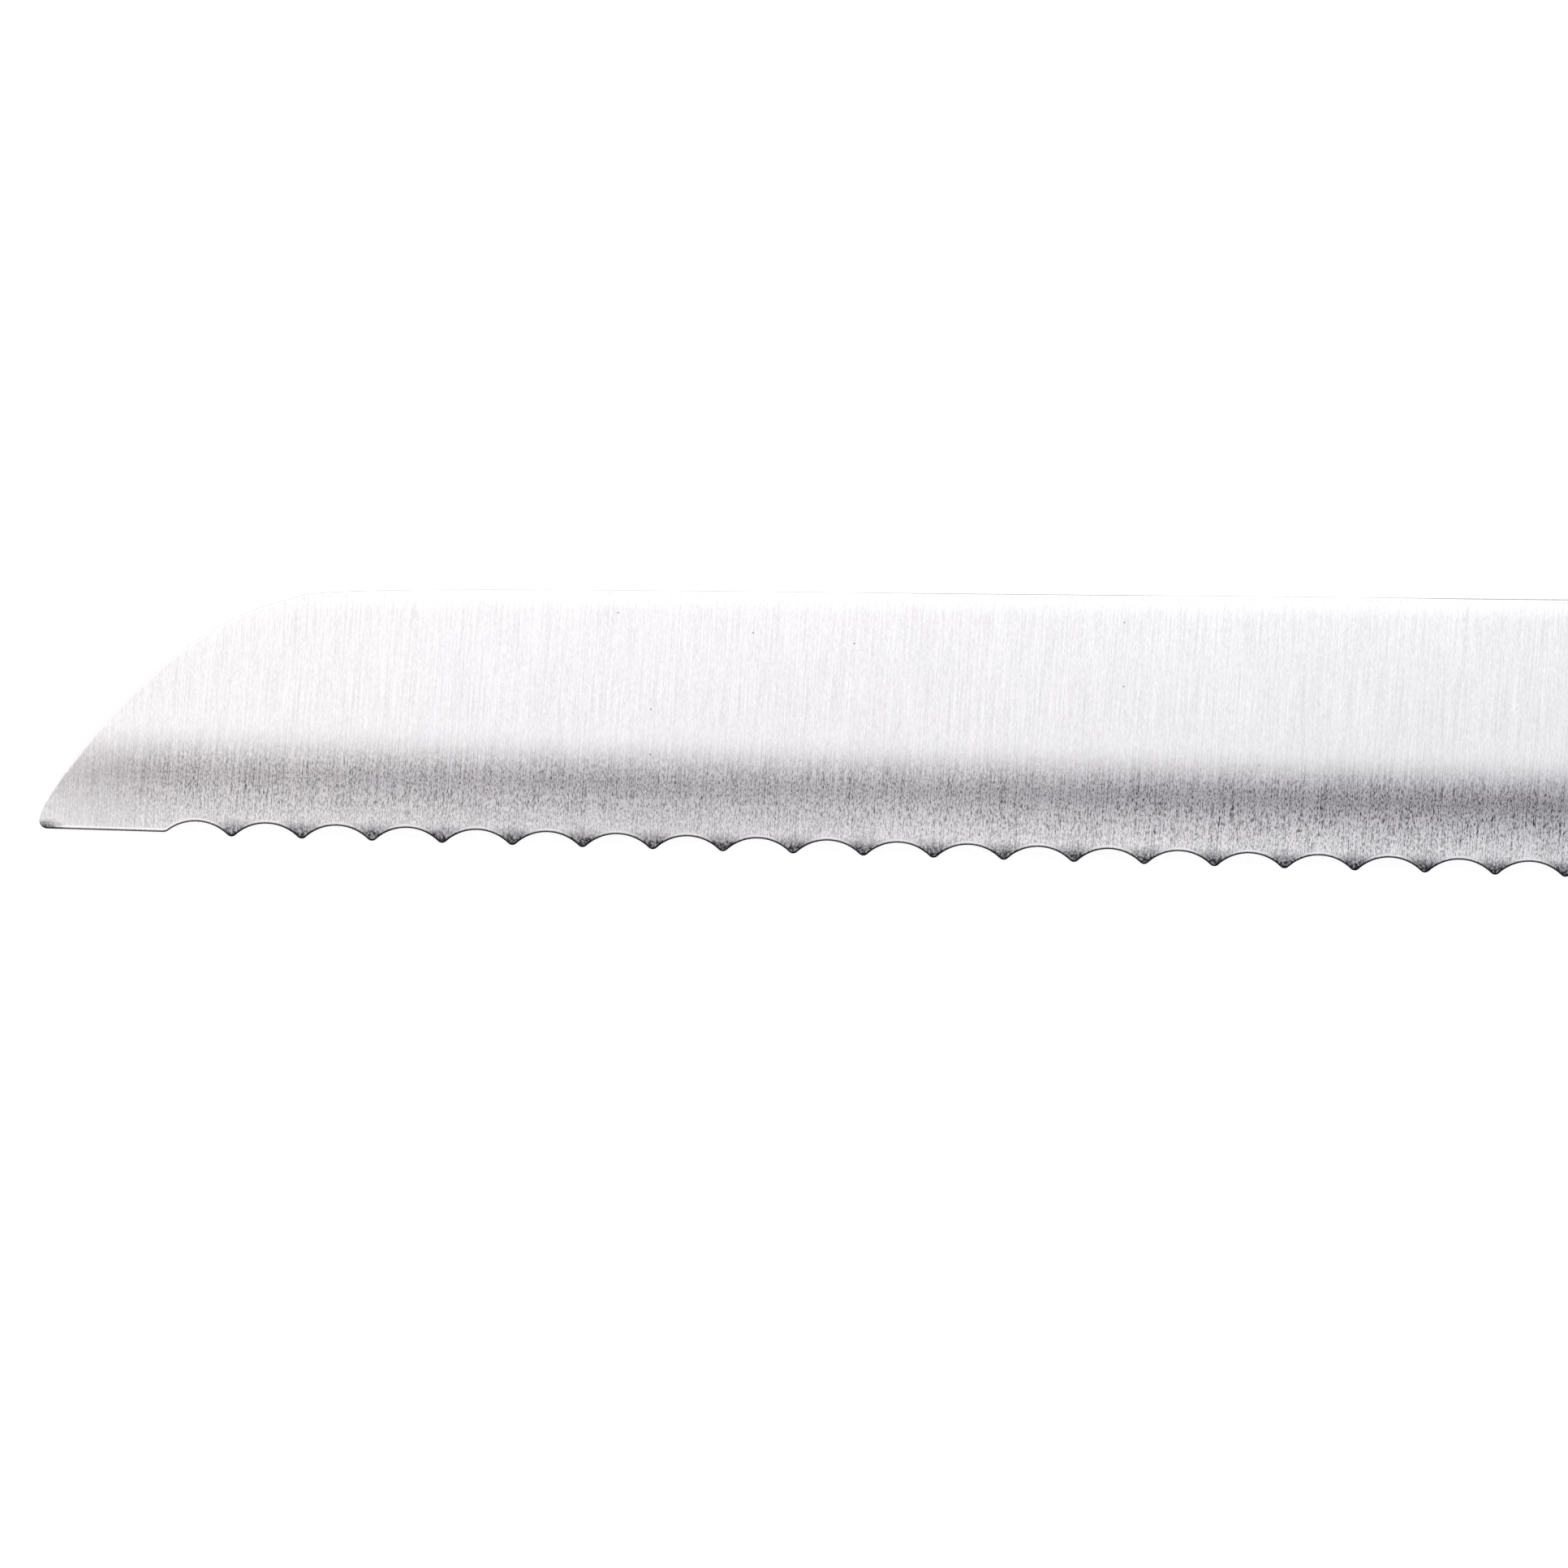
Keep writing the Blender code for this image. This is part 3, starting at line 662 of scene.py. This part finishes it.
def outline_distance(points):
    """How far inside the handle's outline each point of the flank lies."""
    before = BOLSTER_FRONT - 30.0
    top = np.vstack([[[before, 0.0]], handle_upper])
    bottom = np.vstack([[[before, TANG_BOTTOM]], handle_lower])
    best = np.full(len(points), np.inf)
    for line in (top, bottom):
        start = line[:-1]
        span = line[1:] - start
        keep = (span ** 2).sum(1) > 1e-12
        start, span = start[keep], span[keep]
        offset = points[:, None, :] - start[None]
        along = np.clip((offset * span).sum(2) / (span ** 2).sum(1), 0.0, 1.0)
        gap = offset - along[..., None] * span
        best = np.minimum(best, np.sqrt((gap ** 2).sum(2)).min(1))
    return best


def soft_minimum(first, second, width):
    blend = np.maximum(width - np.abs(first - second), 0.0)
    return np.minimum(first, second) - blend ** 2 / (4 * width)


def flank_height(points, bolster):
    """Half the handle's thickness at places on its flank, from the middle plane."""
    inside = np.minimum(outline_distance(points), HANDLE_ROUNDING)
    edge = HALF_HANDLE - HANDLE_ROUNDING
    height = edge + np.sqrt(HANDLE_ROUNDING ** 2 - (HANDLE_ROUNDING - inside) ** 2)
    top = handle_top(points[:, 0])
    bottom = handle_bottom(points[:, 0])
    across = (points[:, 1] - (top + bottom) / 2) / np.maximum((top - bottom) / 2, 1.0)
    height = height - FLANK_CROWN * np.clip(across, -1.0, 1.0) ** 2
    if bolster:
        along = np.maximum((points[:, 0] - BOLSTER_FRONT) / BOLSTER_SLOPE, 0.0)
        arc = np.sqrt(1.0 - (1.0 - np.minimum(along, 1.0)) ** 2)
        past = np.maximum(along - 1.0, 0.0)
        slope = BOLSTER_NOSE + (HALF_HANDLE - BOLSTER_NOSE) * arc + BOLSTER_RUNOUT * past
        height = soft_minimum(height, slope, BOLSTER_BLEND)
    return height


FULL_FLANK_HEIGHT = 12.0             # a shorter section has its rows closer together
FLANK_ROWS = np.array([0.0, 0.06, 0.2, 0.42, 0.72, 1.1, 1.55, 2.1, 2.75, 3.5, 4.3, 5.0])
WALL_ROWS = np.array([0.0, 0.08, 0.3, 0.7, 1.0])


def handle_section(x, shrink, bolster):
    """One closed section of a handle piece, drawn as if it were the left one."""
    top = float(handle_top(x)) - shrink
    bottom = float(handle_bottom(x)) + shrink
    room = max(top - bottom, 0.002)
    rows = FLANK_ROWS * min(1.0, room / FULL_FLANK_HEIGHT)
    middle = np.linspace(bottom + rows[-1], top - rows[-1], 14)[1:-1]
    across = np.concatenate([bottom + rows, middle, top - rows[::-1]])
    flank = np.column_stack([np.full(len(across), x), across])
    height = flank_height(flank, bolster) - shrink
    inner = HALF_TANG + SEAM / 2
    low = inner + (height[0] - inner) * WALL_ROWS
    high = inner + (height[-1] - inner) * WALL_ROWS[::-1]
    relief = np.zeros(len(WALL_ROWS))
    relief[0] = min(WALL_RELIEF, room / 3)
    wall_up = np.column_stack([bottom + relief, low])[:-1]
    wall_down = np.column_stack([top - relief[::-1], high])[1:]
    loop = np.vstack([wall_up, np.column_stack([across, height]), wall_down])
    return np.column_stack([np.full(len(loop), x), loop])


def handle_piece(name, places, side, bolster):
    """A bolster half or a scale, lofted from sections, with its long edges broken at both ends."""
    last = len(places) - 1
    sections = []
    for index, x in enumerate(places):
        end = index == 0 or (index == last and x < BUTT - 1.0)
        sections.append(handle_section(x, BROKEN_EDGE if end else 0.0, bolster))
    points = np.array(sections)
    points[:, :, 2] *= side
    faces = tube_faces(len(places), points.shape[1])
    piece = new_object(name, to_world(points.reshape(-1, 3)), faces)
    clean(piece, 40)
    return piece


def turned_piece(name, profile, place, count=72):
    """A round piece turned from (radius, height) points that start and end on its axis."""
    rings = profile[1:-1]
    vertices = [(0.0, 0.0, profile[0][1])]
    for radius, height in rings:
        for step in range(count):
            angle = 2 * math.pi * step / count
            vertices.append((radius * math.cos(angle), radius * math.sin(angle), height))
    vertices.append((0.0, 0.0, profile[-1][1]))
    faces = []
    for step in range(count):
        after = (step + 1) % count
        faces.append((0, 1 + step, 1 + after))
        for ring in range(len(rings) - 1):
            here = 1 + ring * count
            there = here + count
            faces.append((here + step, there + step, there + after, here + after))
        last = 1 + (len(rings) - 1) * count
        faces.append((last + step, len(vertices) - 1, last + after))
    points = np.array(vertices) + np.array([place[0], place[1], 0.0])
    piece = new_object(name, to_world(points), faces)
    clean(piece, 35)
    return piece


def drill(piece, place, radius, start, end):
    """Cut a round hole between two heights, and apply it at once."""
    low, high = min(start, end), max(start, end)
    profile = [(0.0, high), (radius, high), (radius, low), (0.0, low)]
    cutter = turned_piece(piece.name + "_drill", profile, place)
    cutting = piece.modifiers.new("bore", "BOOLEAN")
    cutting.operation = "DIFFERENCE"
    cutting.solver = "MANIFOLD"
    cutting.object = cutter
    shape = piece.evaluated_get(bpy.context.evaluated_depsgraph_get())
    mesh = bpy.data.meshes.new_from_object(shape)
    piece.modifiers.clear()
    old = piece.data
    piece.data = mesh
    bpy.data.meshes.remove(old)
    bpy.data.objects.remove(cutter)


def build_scale(side, name):
    start = BOLSTER_REAR + SEAM / 2
    places = np.concatenate([[start, start + BROKEN_EDGE], handle_columns(start + FIRST_STEP)])
    scale = handle_piece(name, places, side, False)
    flank = side * HALF_HANDLE
    seat = flank - side * (RIVET_HEAD_THICKNESS + RIVET_SEAT_GAP)
    for place in RIVETS.values():
        drill(scale, place, RIVET_TUBE_RADIUS + SEAM, 0.0, 2 * flank)
        drill(scale, place, RIVET_HEAD_RADIUS + SEAM, seat, 2 * flank)
    clean(scale, 40)
    return scale


def build_bolster(side, name):
    rear = BOLSTER_REAR - SEAM / 2
    nose = BOLSTER_FRONT + BOLSTER_SLOPE * (1 - np.cos(quarter_turn(22)))
    rest = np.linspace(BOLSTER_FRONT + BOLSTER_SLOPE + 0.5, rear - BROKEN_EDGE, 10)
    bolster = handle_piece(name, np.concatenate([nose, rest, [rear]]), side, True)
    for place in BOLSTER_PINS.values():
        drill(bolster, place, BOLSTER_PIN_RADIUS + PIN_GAP, 0.0, side * DRILL_REACH)
    clean(bolster, 40)
    return bolster


def rivet_head(under, top):
    """A rivet head's (radius, height) points, from its underside out and over its slightly domed top."""
    rounding = 0.12
    head = RIVET_HEAD_RADIUS
    sunk = [
        (head, rounding), (head - 0.03, 0.05), (head - rounding, 0.012), (2.6, 0.004), (1.2, 0.0), (0.0, 0.0),
    ]
    return [(head, under)] + [(radius, top - depth) for radius, depth in sunk]


def rivet_profiles():
    """The tube with its head on the left, and the pin with its head on the right."""
    top = HALF_HANDLE - FLUSH
    under = top - RIVET_HEAD_THICKNESS
    bore = RIVET_PIN_RADIUS + SEAM
    head = rivet_head(under, top)
    tube = head[::-1] + [
        (RIVET_TUBE_RADIUS, under), (RIVET_TUBE_RADIUS, SEAM - under), (bore, SEAM - under),
        (bore, under + 0.2), (0.0, under + 0.2),
    ]
    pin = [(0.0, under + 0.15), (RIVET_PIN_RADIUS, under + 0.15), (RIVET_PIN_RADIUS, -under)]
    pin += [(radius, -height) for radius, height in head]
    return tube, pin


def bolster_pin_profile():
    """A plain pin with both its ends broken."""
    radius = BOLSTER_PIN_RADIUS
    top = HALF_HANDLE - PIN_FLUSH
    half = [(0.0, top), (radius - 0.08, top), (radius, top - 0.06)]
    return half + [(radius, -height) for radius, height in half[::-1]]


# ---------------------------------------- node helpers

class Nodes:
    """Short names for building one material's node tree."""

    def __init__(self, tree):
        self.tree = tree

    def add(self, kind, **settings):
        node = self.tree.nodes.new("ShaderNode" + kind)
        for key, value in settings.items():
            setattr(node, key, value)
        return node

    def link(self, source, target):
        self.tree.links.new(source, target)

    def feed(self, socket, value):
        if isinstance(value, bpy.types.NodeSocket):
            self.link(value, socket)
        else:
            socket.default_value = value

    def math(self, operation, first, second=0.0, third=None, clamp=False):
        node = self.add("Math", operation=operation, use_clamp=clamp)
        self.feed(node.inputs[0], first)
        self.feed(node.inputs[1], second)
        if third is not None:
            self.feed(node.inputs[2], third)
        return node.outputs[0]

    def times(self, first, second, clamp=False):
        return self.math("MULTIPLY", first, second, clamp=clamp)

    def total(self, *values):
        result = values[0]
        for value in values[1:]:
            result = self.math("ADD", result, value)
        return result

    def noise(self, vector, scale=1.0, detail=2.0, roughness=0.5):
        node = self.add("TexNoise")
        self.feed(node.inputs["Vector"], vector)
        node.inputs["Scale"].default_value = scale
        node.inputs["Detail"].default_value = detail
        node.inputs["Roughness"].default_value = roughness
        return node.outputs["Fac"]

    def ramp(self, value, stops, interpolation="EASE"):
        node = self.add("ValToRGB")
        node.color_ramp.interpolation = interpolation
        elements = node.color_ramp.elements
        while len(elements) < len(stops):
            elements.new(1.0)
        for element, (position, colour) in zip(elements, stops):
            element.position = position
            element.color = (*colour, 1.0) if len(colour) == 3 else (colour[0],) * 3 + (1.0,)
        self.feed(node.inputs["Fac"], value)
        return node.outputs["Color"]

    def span(self, value, low, high, to_low=0.0, to_high=1.0):
        node = self.add("MapRange")
        self.feed(node.inputs["Value"], value)
        node.inputs["From Min"].default_value = low
        node.inputs["From Max"].default_value = high
        node.inputs["To Min"].default_value = to_low
        node.inputs["To Max"].default_value = to_high
        return node.outputs["Result"]

    def mix(self, factor, first, second):
        node = self.add("Mix", data_type="RGBA")
        self.feed(node.inputs[0], factor)
        self.feed(node.inputs[6], first if isinstance(first, bpy.types.NodeSocket) else (*first, 1.0))
        self.feed(node.inputs[7], second if isinstance(second, bpy.types.NodeSocket) else (*second, 1.0))
        return node.outputs[2]

    def grey(self, value):
        """The same value on all three axes, as a colour."""
        joined = self.add("CombineXYZ")
        for axis in range(3):
            self.link(value, joined.inputs[axis])
        return joined

    def attribute(self, name):
        return self.add("Attribute", attribute_name=name).outputs["Fac"]

    def stretched(self, scales, lean=0.0):
        """The object's own coordinates, scaled along X, Y and Z and leaning sideways with Y."""
        parts = self.add("SeparateXYZ")
        self.link(self.add("TexCoord").outputs["Object"], parts.inputs[0])
        x, y, z = parts.outputs
        joined = self.add("CombineXYZ")
        self.feed(joined.inputs["X"], self.times(self.math("MULTIPLY_ADD", y, -lean, x), scales[0]))
        self.feed(joined.inputs["Y"], self.times(y, scales[1]))
        self.feed(joined.inputs["Z"], self.times(z, scales[2]))
        return joined.outputs[0]

    def brush_marks(self, scales):
        """Leaning noise, stretched across the blade."""
        return self.noise(self.stretched(scales, BRUSH_LEAN), detail=1.0, roughness=0.6)

    def signed(self, noise):
        return self.math("SUBTRACT", noise, 0.5)

    def bump(self, height, distance, strength):
        node = self.add("Bump")
        node.inputs["Strength"].default_value = strength
        node.inputs["Distance"].default_value = distance
        self.feed(node.inputs["Height"], height)
        return node.outputs["Normal"]

    def tangent(self, shader, axis):
        """Anisotropy along one of the object's own axes."""
        direction = self.add("CombineXYZ")
        direction.inputs[axis].default_value = 1.0
        self.link(direction.outputs[0], shader.inputs["Tangent"])


def new_material(name):
    material = bpy.data.materials.new(name)
    material.use_nodes = True
    shader = material.node_tree.nodes["Principled BSDF"]
    return material, Nodes(material.node_tree), shader


# ---------------------------------------- materials

def brushed_colour(nodes, strokes, dashes, grain, grind):
    """Long faint strokes on the flat, and a shorter, coarser grain in the grind."""
    patches = nodes.noise(nodes.stretched(PATCH_SCALE, BRUSH_LEAN), detail=2.0)
    stroke, dash, fleck, patch = (nodes.signed(noise) for noise in (strokes, dashes, grain, patches))
    flat_mix = nodes.total(nodes.times(stroke, 0.38), nodes.times(dash, 0.36), nodes.times(patch, 0.035))
    grind_mix = nodes.total(nodes.times(dash, 0.9), nodes.times(fleck, 2.45), nodes.times(stroke, 0.9))
    variation = nodes.total(flat_mix, nodes.times(grind_mix, nodes.math("POWER", grind, 2.0)))
    return nodes.grey(nodes.times(nodes.total(variation, 1.0), STEEL_ALBEDO)).outputs[0]


def with_pits(nodes, colour):
    """A few tiny dark pits at random places."""
    cells = nodes.add("TexVoronoi", voronoi_dimensions="2D")
    cells.inputs["Scale"].default_value = PITS_PER_METRE
    nodes.link(nodes.add("TexCoord").outputs["Object"], cells.inputs["Vector"])
    chance = nodes.add("SeparateColor")
    nodes.link(cells.outputs["Color"], chance.inputs[0])
    inside = nodes.math("LESS_THAN", cells.outputs["Distance"], PIT_SIZE)
    chosen = nodes.math("GREATER_THAN", chance.outputs["Red"], PIT_RARITY)
    return nodes.mix(nodes.times(nodes.times(inside, chosen), 0.6), colour, (0.15, 0.15, 0.16))


def with_edge_soot_and_painted_light(nodes, colour, wear_and_shade, rim):
    """Buffing marks and painted shade darkening the teeth and the nose corner, a painted highlight line along
    the edge between the teeth, and a painted dark line at the very edge.
    """
    speck_noise = nodes.noise(nodes.stretched(SPECK_SCALE), detail=2.0, roughness=0.7)
    specks = nodes.span(speck_noise, 0.38, 0.62, 0.35, 1.4)
    # Painted shade, partly buffing marks: the teeth and the nose's lower corner are darkened in specks
    # towards near black.
    soot_and_shade = nodes.times(nodes.times(wear_and_shade, 1.35), specks, clamp=True)
    colour = nodes.mix(soot_and_shade, colour, (0.05, 0.05, 0.06))
    # Painted highlight: a white line just inside the edge, between the teeth.
    band = nodes.times(nodes.span(rim, 0.18, 0.26), nodes.span(rim, 0.50, 0.36))
    burr_highlight = nodes.times(band, nodes.span(wear_and_shade, 0.45, 0.05))
    colour = nodes.mix(burr_highlight, colour, (1.0, 1.0, 1.0))
    # Painted shade: a near-black line along the very edge, standing in for the dark reflection of its
    # turned-over lip.
    line = nodes.times(nodes.span(rim, 0.16, 0.23, 1.0, 0.0), nodes.span(wear_and_shade, 0.1, 0.5, 0.74, 0.96))
    return nodes.mix(line, colour, (0.03, 0.03, 0.035))


def blade_material():
    """Steel brushed across the blade, coarser in the grind, with marks and painted shade and highlight along
    the edge.
    """
    material, nodes, shader = new_material("brushed_blade_steel")
    grind = nodes.attribute("grind")
    strokes = nodes.brush_marks(STROKE_SCALE)
    dashes = nodes.brush_marks(DASH_SCALE)
    grain = nodes.brush_marks(GRAIN_SCALE)
    colour = with_pits(nodes, brushed_colour(nodes, strokes, dashes, grain, grind))
    colour = with_edge_soot_and_painted_light(nodes, colour, nodes.attribute("wear_and_shade"), nodes.attribute("rim"))
    nodes.link(colour, shader.inputs["Base Color"])
    shader.inputs["Metallic"].default_value = 1.0
    rough = nodes.total(nodes.times(strokes, 0.08), nodes.times(grind, 0.03), 0.15)
    nodes.link(rough, shader.inputs["Roughness"])
    shader.inputs["Anisotropic"].default_value = 0.7
    nodes.tangent(shader, "X")
    relief = nodes.total(strokes, nodes.times(nodes.times(grain, grind), 0.8))
    nodes.link(nodes.bump(relief, 0.000004, 0.5), shader.inputs["Normal"])
    return material


def lined_steel(name, along, colour=(0.74, 0.74, 0.745), roughness=0.24):
    """Polished steel with fine lines running along X or Y, and a few handling marks."""
    material, nodes, shader = new_material(name)
    scales = (260, 7000, 7000) if along == "X" else (7000, 260, 7000)
    lines = nodes.noise(nodes.stretched(scales), detail=3.0, roughness=0.65)
    smears = nodes.noise(nodes.stretched((160, 160, 160)), detail=3.0)
    shade = nodes.ramp(lines, [(0.3, tuple(0.88 * c for c in colour)), (0.7, colour)], "LINEAR")
    dull = tuple(0.90 * c for c in colour)
    smeared = nodes.mix(nodes.span(smears, 0.55, 0.8, 0.0, 0.5), shade, dull)
    nodes.link(smeared, shader.inputs["Base Color"])
    shader.inputs["Metallic"].default_value = 1.0
    rough = nodes.total(nodes.times(smears, 0.10), nodes.times(lines, 0.10), roughness - 0.10)
    nodes.link(rough, shader.inputs["Roughness"])
    shader.inputs["Anisotropic"].default_value = 0.6
    nodes.tangent(shader, "Y" if along == "X" else "X")
    nodes.link(nodes.bump(lines, 0.000006, 0.5), shader.inputs["Normal"])
    return material


VENEER = 0.0009                      # thickness in metres
VENEER_WAVE = 0.0011
VENEER_COLOURS = [(0.0, (0.085, 0.026, 0.016)), (0.5, (0.15, 0.045, 0.024)), (1.0, (0.22, 0.075, 0.036))]


def veneer_colour(nodes, shift):
    """Veneers of different browns, stacked through the handle, with dark glue lines between them."""
    wander = nodes.noise(nodes.stretched((22, 60, 60)), detail=2.0)
    place = nodes.add("SeparateXYZ")
    nodes.link(nodes.add("TexCoord").outputs["Object"], place.inputs[0])
    depth = nodes.total(place.outputs["Z"], nodes.times(wander, VENEER_WAVE), shift)
    stack = nodes.times(depth, 1.0 / VENEER)
    chance = nodes.add("TexWhiteNoise", noise_dimensions="1D")
    nodes.link(nodes.math("FLOOR", stack), chance.inputs["W"])
    body = nodes.ramp(chance.outputs["Value"], VENEER_COLOURS)
    glue = nodes.math("GREATER_THAN", nodes.math("FRACT", stack), 0.93)
    return body, glue


def wood_material(name, shift):
    """Dark resin-bonded hardwood: thin veneers seen edge-on where the flank curves, with long pores."""
    material, nodes, shader = new_material(name)
    body, glue = veneer_colour(nodes, shift)
    figure = nodes.noise(nodes.stretched((45, 420, 420)), detail=4.0, roughness=0.6)
    body = nodes.mix(nodes.span(figure, 0.38, 0.62, 0.0, 0.62), body, (0.045, 0.014, 0.010))
    pores = nodes.noise(nodes.stretched((300, 4800, 4800)), detail=2.0, roughness=0.5)
    pore = nodes.span(pores, 0.60, 0.70)
    body = nodes.mix(nodes.times(pore, 0.75), body, (0.018, 0.007, 0.005))
    body = nodes.mix(nodes.times(glue, 0.45), body, (0.03, 0.010, 0.008))
    nodes.link(body, shader.inputs["Base Color"])
    worn = nodes.noise(nodes.stretched((60, 60, 60)), detail=2.0)
    rough = nodes.total(nodes.times(worn, 0.16), nodes.times(pore, 0.18), 0.28)
    nodes.link(rough, shader.inputs["Roughness"])
    shader.inputs["Coat Weight"].default_value = 0.25
    shader.inputs["Coat Roughness"].default_value = 0.22
    dents = nodes.math("SUBTRACT", nodes.times(figure, 0.4), pore)
    nodes.link(nodes.bump(dents, 0.00003, 0.6), shader.inputs["Normal"])
    return material


# ---------------------------------------- stage

def build_floor():
    half = FLOOR_HALF_WIDTH
    corners = [(-half, -half, 0), (half, -half, 0), (half, half, 0), (-half, half, 0)]
    floor = new_object("table", corners, [(0, 1, 2, 3)])
    floor.location.z = cad_box[0][2]
    material, nodes, shader = new_material("pale_table")
    mottle = nodes.noise(nodes.stretched((12, 12, 12)), detail=2.0)
    nodes.link(nodes.mix(mottle, (0.86, 0.86, 0.86), (0.90, 0.90, 0.90)), shader.inputs["Base Color"])
    shader.inputs["Roughness"].default_value = 0.8
    shader.inputs["Emission Color"].default_value = (1.0, 1.0, 1.0, 1.0)
    shader.inputs["Emission Strength"].default_value = FLOOR_GLOW
    floor.data.materials.append(material)


def near_sky(nodes, tilt, side):
    """Overhead light that falls evenly with tilt, a little warmer to one side and cooler to the other."""
    overhead = nodes.math("MULTIPLY_ADD", side, OVERHEAD_SIDE, OVERHEAD)
    fall = nodes.math("MULTIPLY_ADD", side, FALL_SIDE, FALL)
    light = nodes.math("SUBTRACT", overhead, nodes.times(tilt, fall))
    light = nodes.math("MINIMUM", nodes.math("MAXIMUM", light, NEAR_SKY_RANGE[0]), NEAR_SKY_RANGE[1])
    colour = nodes.grey(light)
    for axis, tint in (("X", RED_TINT), ("Z", BLUE_TINT)):
        tinted = nodes.total(light, nodes.span(side, -SIDE_LIMIT, SIDE_LIMIT, *tint))
        nodes.link(tinted, colour.inputs[axis])
    return colour.outputs[0]


def far_sky(nodes, tilt, around):
    """The studio further down: bright towards the spine, dark beyond the edge, with grey patches around."""
    far = nodes.ramp(nodes.span(tilt, -90.0, 90.0), FAR_SKY)
    sway = nodes.math("SINE", nodes.math("MULTIPLY_ADD", around, 3.0, 0.5))
    return nodes.mix(nodes.span(sway, -1.0, 1.0, 0.0, 0.45), far, (0.16, 0.16, 0.17))


def build_world():
    """A soft studio: bright overhead and towards the spine, falling evenly to a dark card beyond the edge."""
    world = bpy.data.worlds.new("soft_studio")
    bpy.context.scene.world = world
    world.use_nodes = True
    nodes = Nodes(world.node_tree)
    background = world.node_tree.nodes["Background"]
    parts = nodes.add("SeparateXYZ")
    nodes.link(nodes.add("TexCoord").outputs["Generated"], parts.inputs[0])
    x, y, z = parts.outputs
    height = nodes.math("MAXIMUM", z, 0.0001)
    tilt = nodes.times(nodes.math("ARCTAN2", y, height), -180 / math.pi)
    side = nodes.times(nodes.math("ARCTAN2", x, height), 180 / math.pi)
    side = nodes.math("MINIMUM", nodes.math("MAXIMUM", side, -SIDE_LIMIT), SIDE_LIMIT)
    outer = nodes.span(nodes.math("ARCCOSINE", z), *np.radians(FAR_SKY_START))
    sky = nodes.mix(outer, near_sky(nodes, tilt, side), far_sky(nodes, tilt, nodes.math("ARCTAN2", y, x)))
    nodes.link(sky, background.inputs["Color"])
    background.inputs["Strength"].default_value = 1.0 / STEEL_ALBEDO


def build_camera():
    """A long lens straight above the blade, rolled a little as in the picture."""
    data = bpy.data.cameras.new("camera")
    data.lens = LENS
    data.sensor_width = SENSOR
    data.clip_start = 0.01
    data.clip_end = 20.0
    camera = bpy.data.objects.new("camera", data)
    bpy.context.scene.collection.objects.link(camera)
    distance = VIEW_WIDTH * LENS / SENSOR
    camera.location = to_world([*VIEW_CENTRE, HALF_SPINE + distance])
    camera.rotation_euler = (0.0, 0.0, VIEW_ROLL)
    bpy.context.scene.camera = camera


# ---------------------------------------- the knife

def finish_piece(piece, material, slot, *nodes):
    piece.data.materials.clear()
    piece.data.materials.append(material)
    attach(piece, "root")
    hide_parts(*nodes)


def build_knife():
    finish_piece(build_blade(), blade_material(), "blade_steel", "blade")
    polished = lined_steel("polished_bolster_steel", "Y", roughness=0.20)
    satin = lined_steel("flush_rivet_steel", "X", (0.78, 0.775, 0.76), 0.24)
    for side, word, shift in ((1, "left", 0.0), (-1, "right", 0.0137)):
        bolster = build_bolster(side, "bolster_" + word + "_shell")
        finish_piece(bolster, polished, "bolster_steel", "bolster_" + word)
        scale = build_scale(side, "scale_" + word + "_wood")
        wood = wood_material("laminated_hardwood_" + word, shift)
        finish_piece(scale, wood, "handle_wood", "scale_" + word)
    for word, place in BOLSTER_PINS.items():
        pin = turned_piece("bolster_pin_" + word + "_steel", bolster_pin_profile(), place)
        finish_piece(pin, polished, "bolster_steel", "bolster_pin_" + word)
    tube_profile, pin_profile = rivet_profiles()
    for word, place in RIVETS.items():
        tube = turned_piece("rivet_" + word + "_tube_steel", tube_profile, place)
        finish_piece(tube, satin, "rivet_steel", "rivet_" + word + "_tube")
        pin = turned_piece("rivet_" + word + "_pin_steel", pin_profile, place)
        finish_piece(pin, satin, "rivet_steel", "rivet_" + word + "_pin")


bpy.context.scene.view_settings.view_transform = "Standard"
build_camera()
build_world()
build_floor()
build_knife()
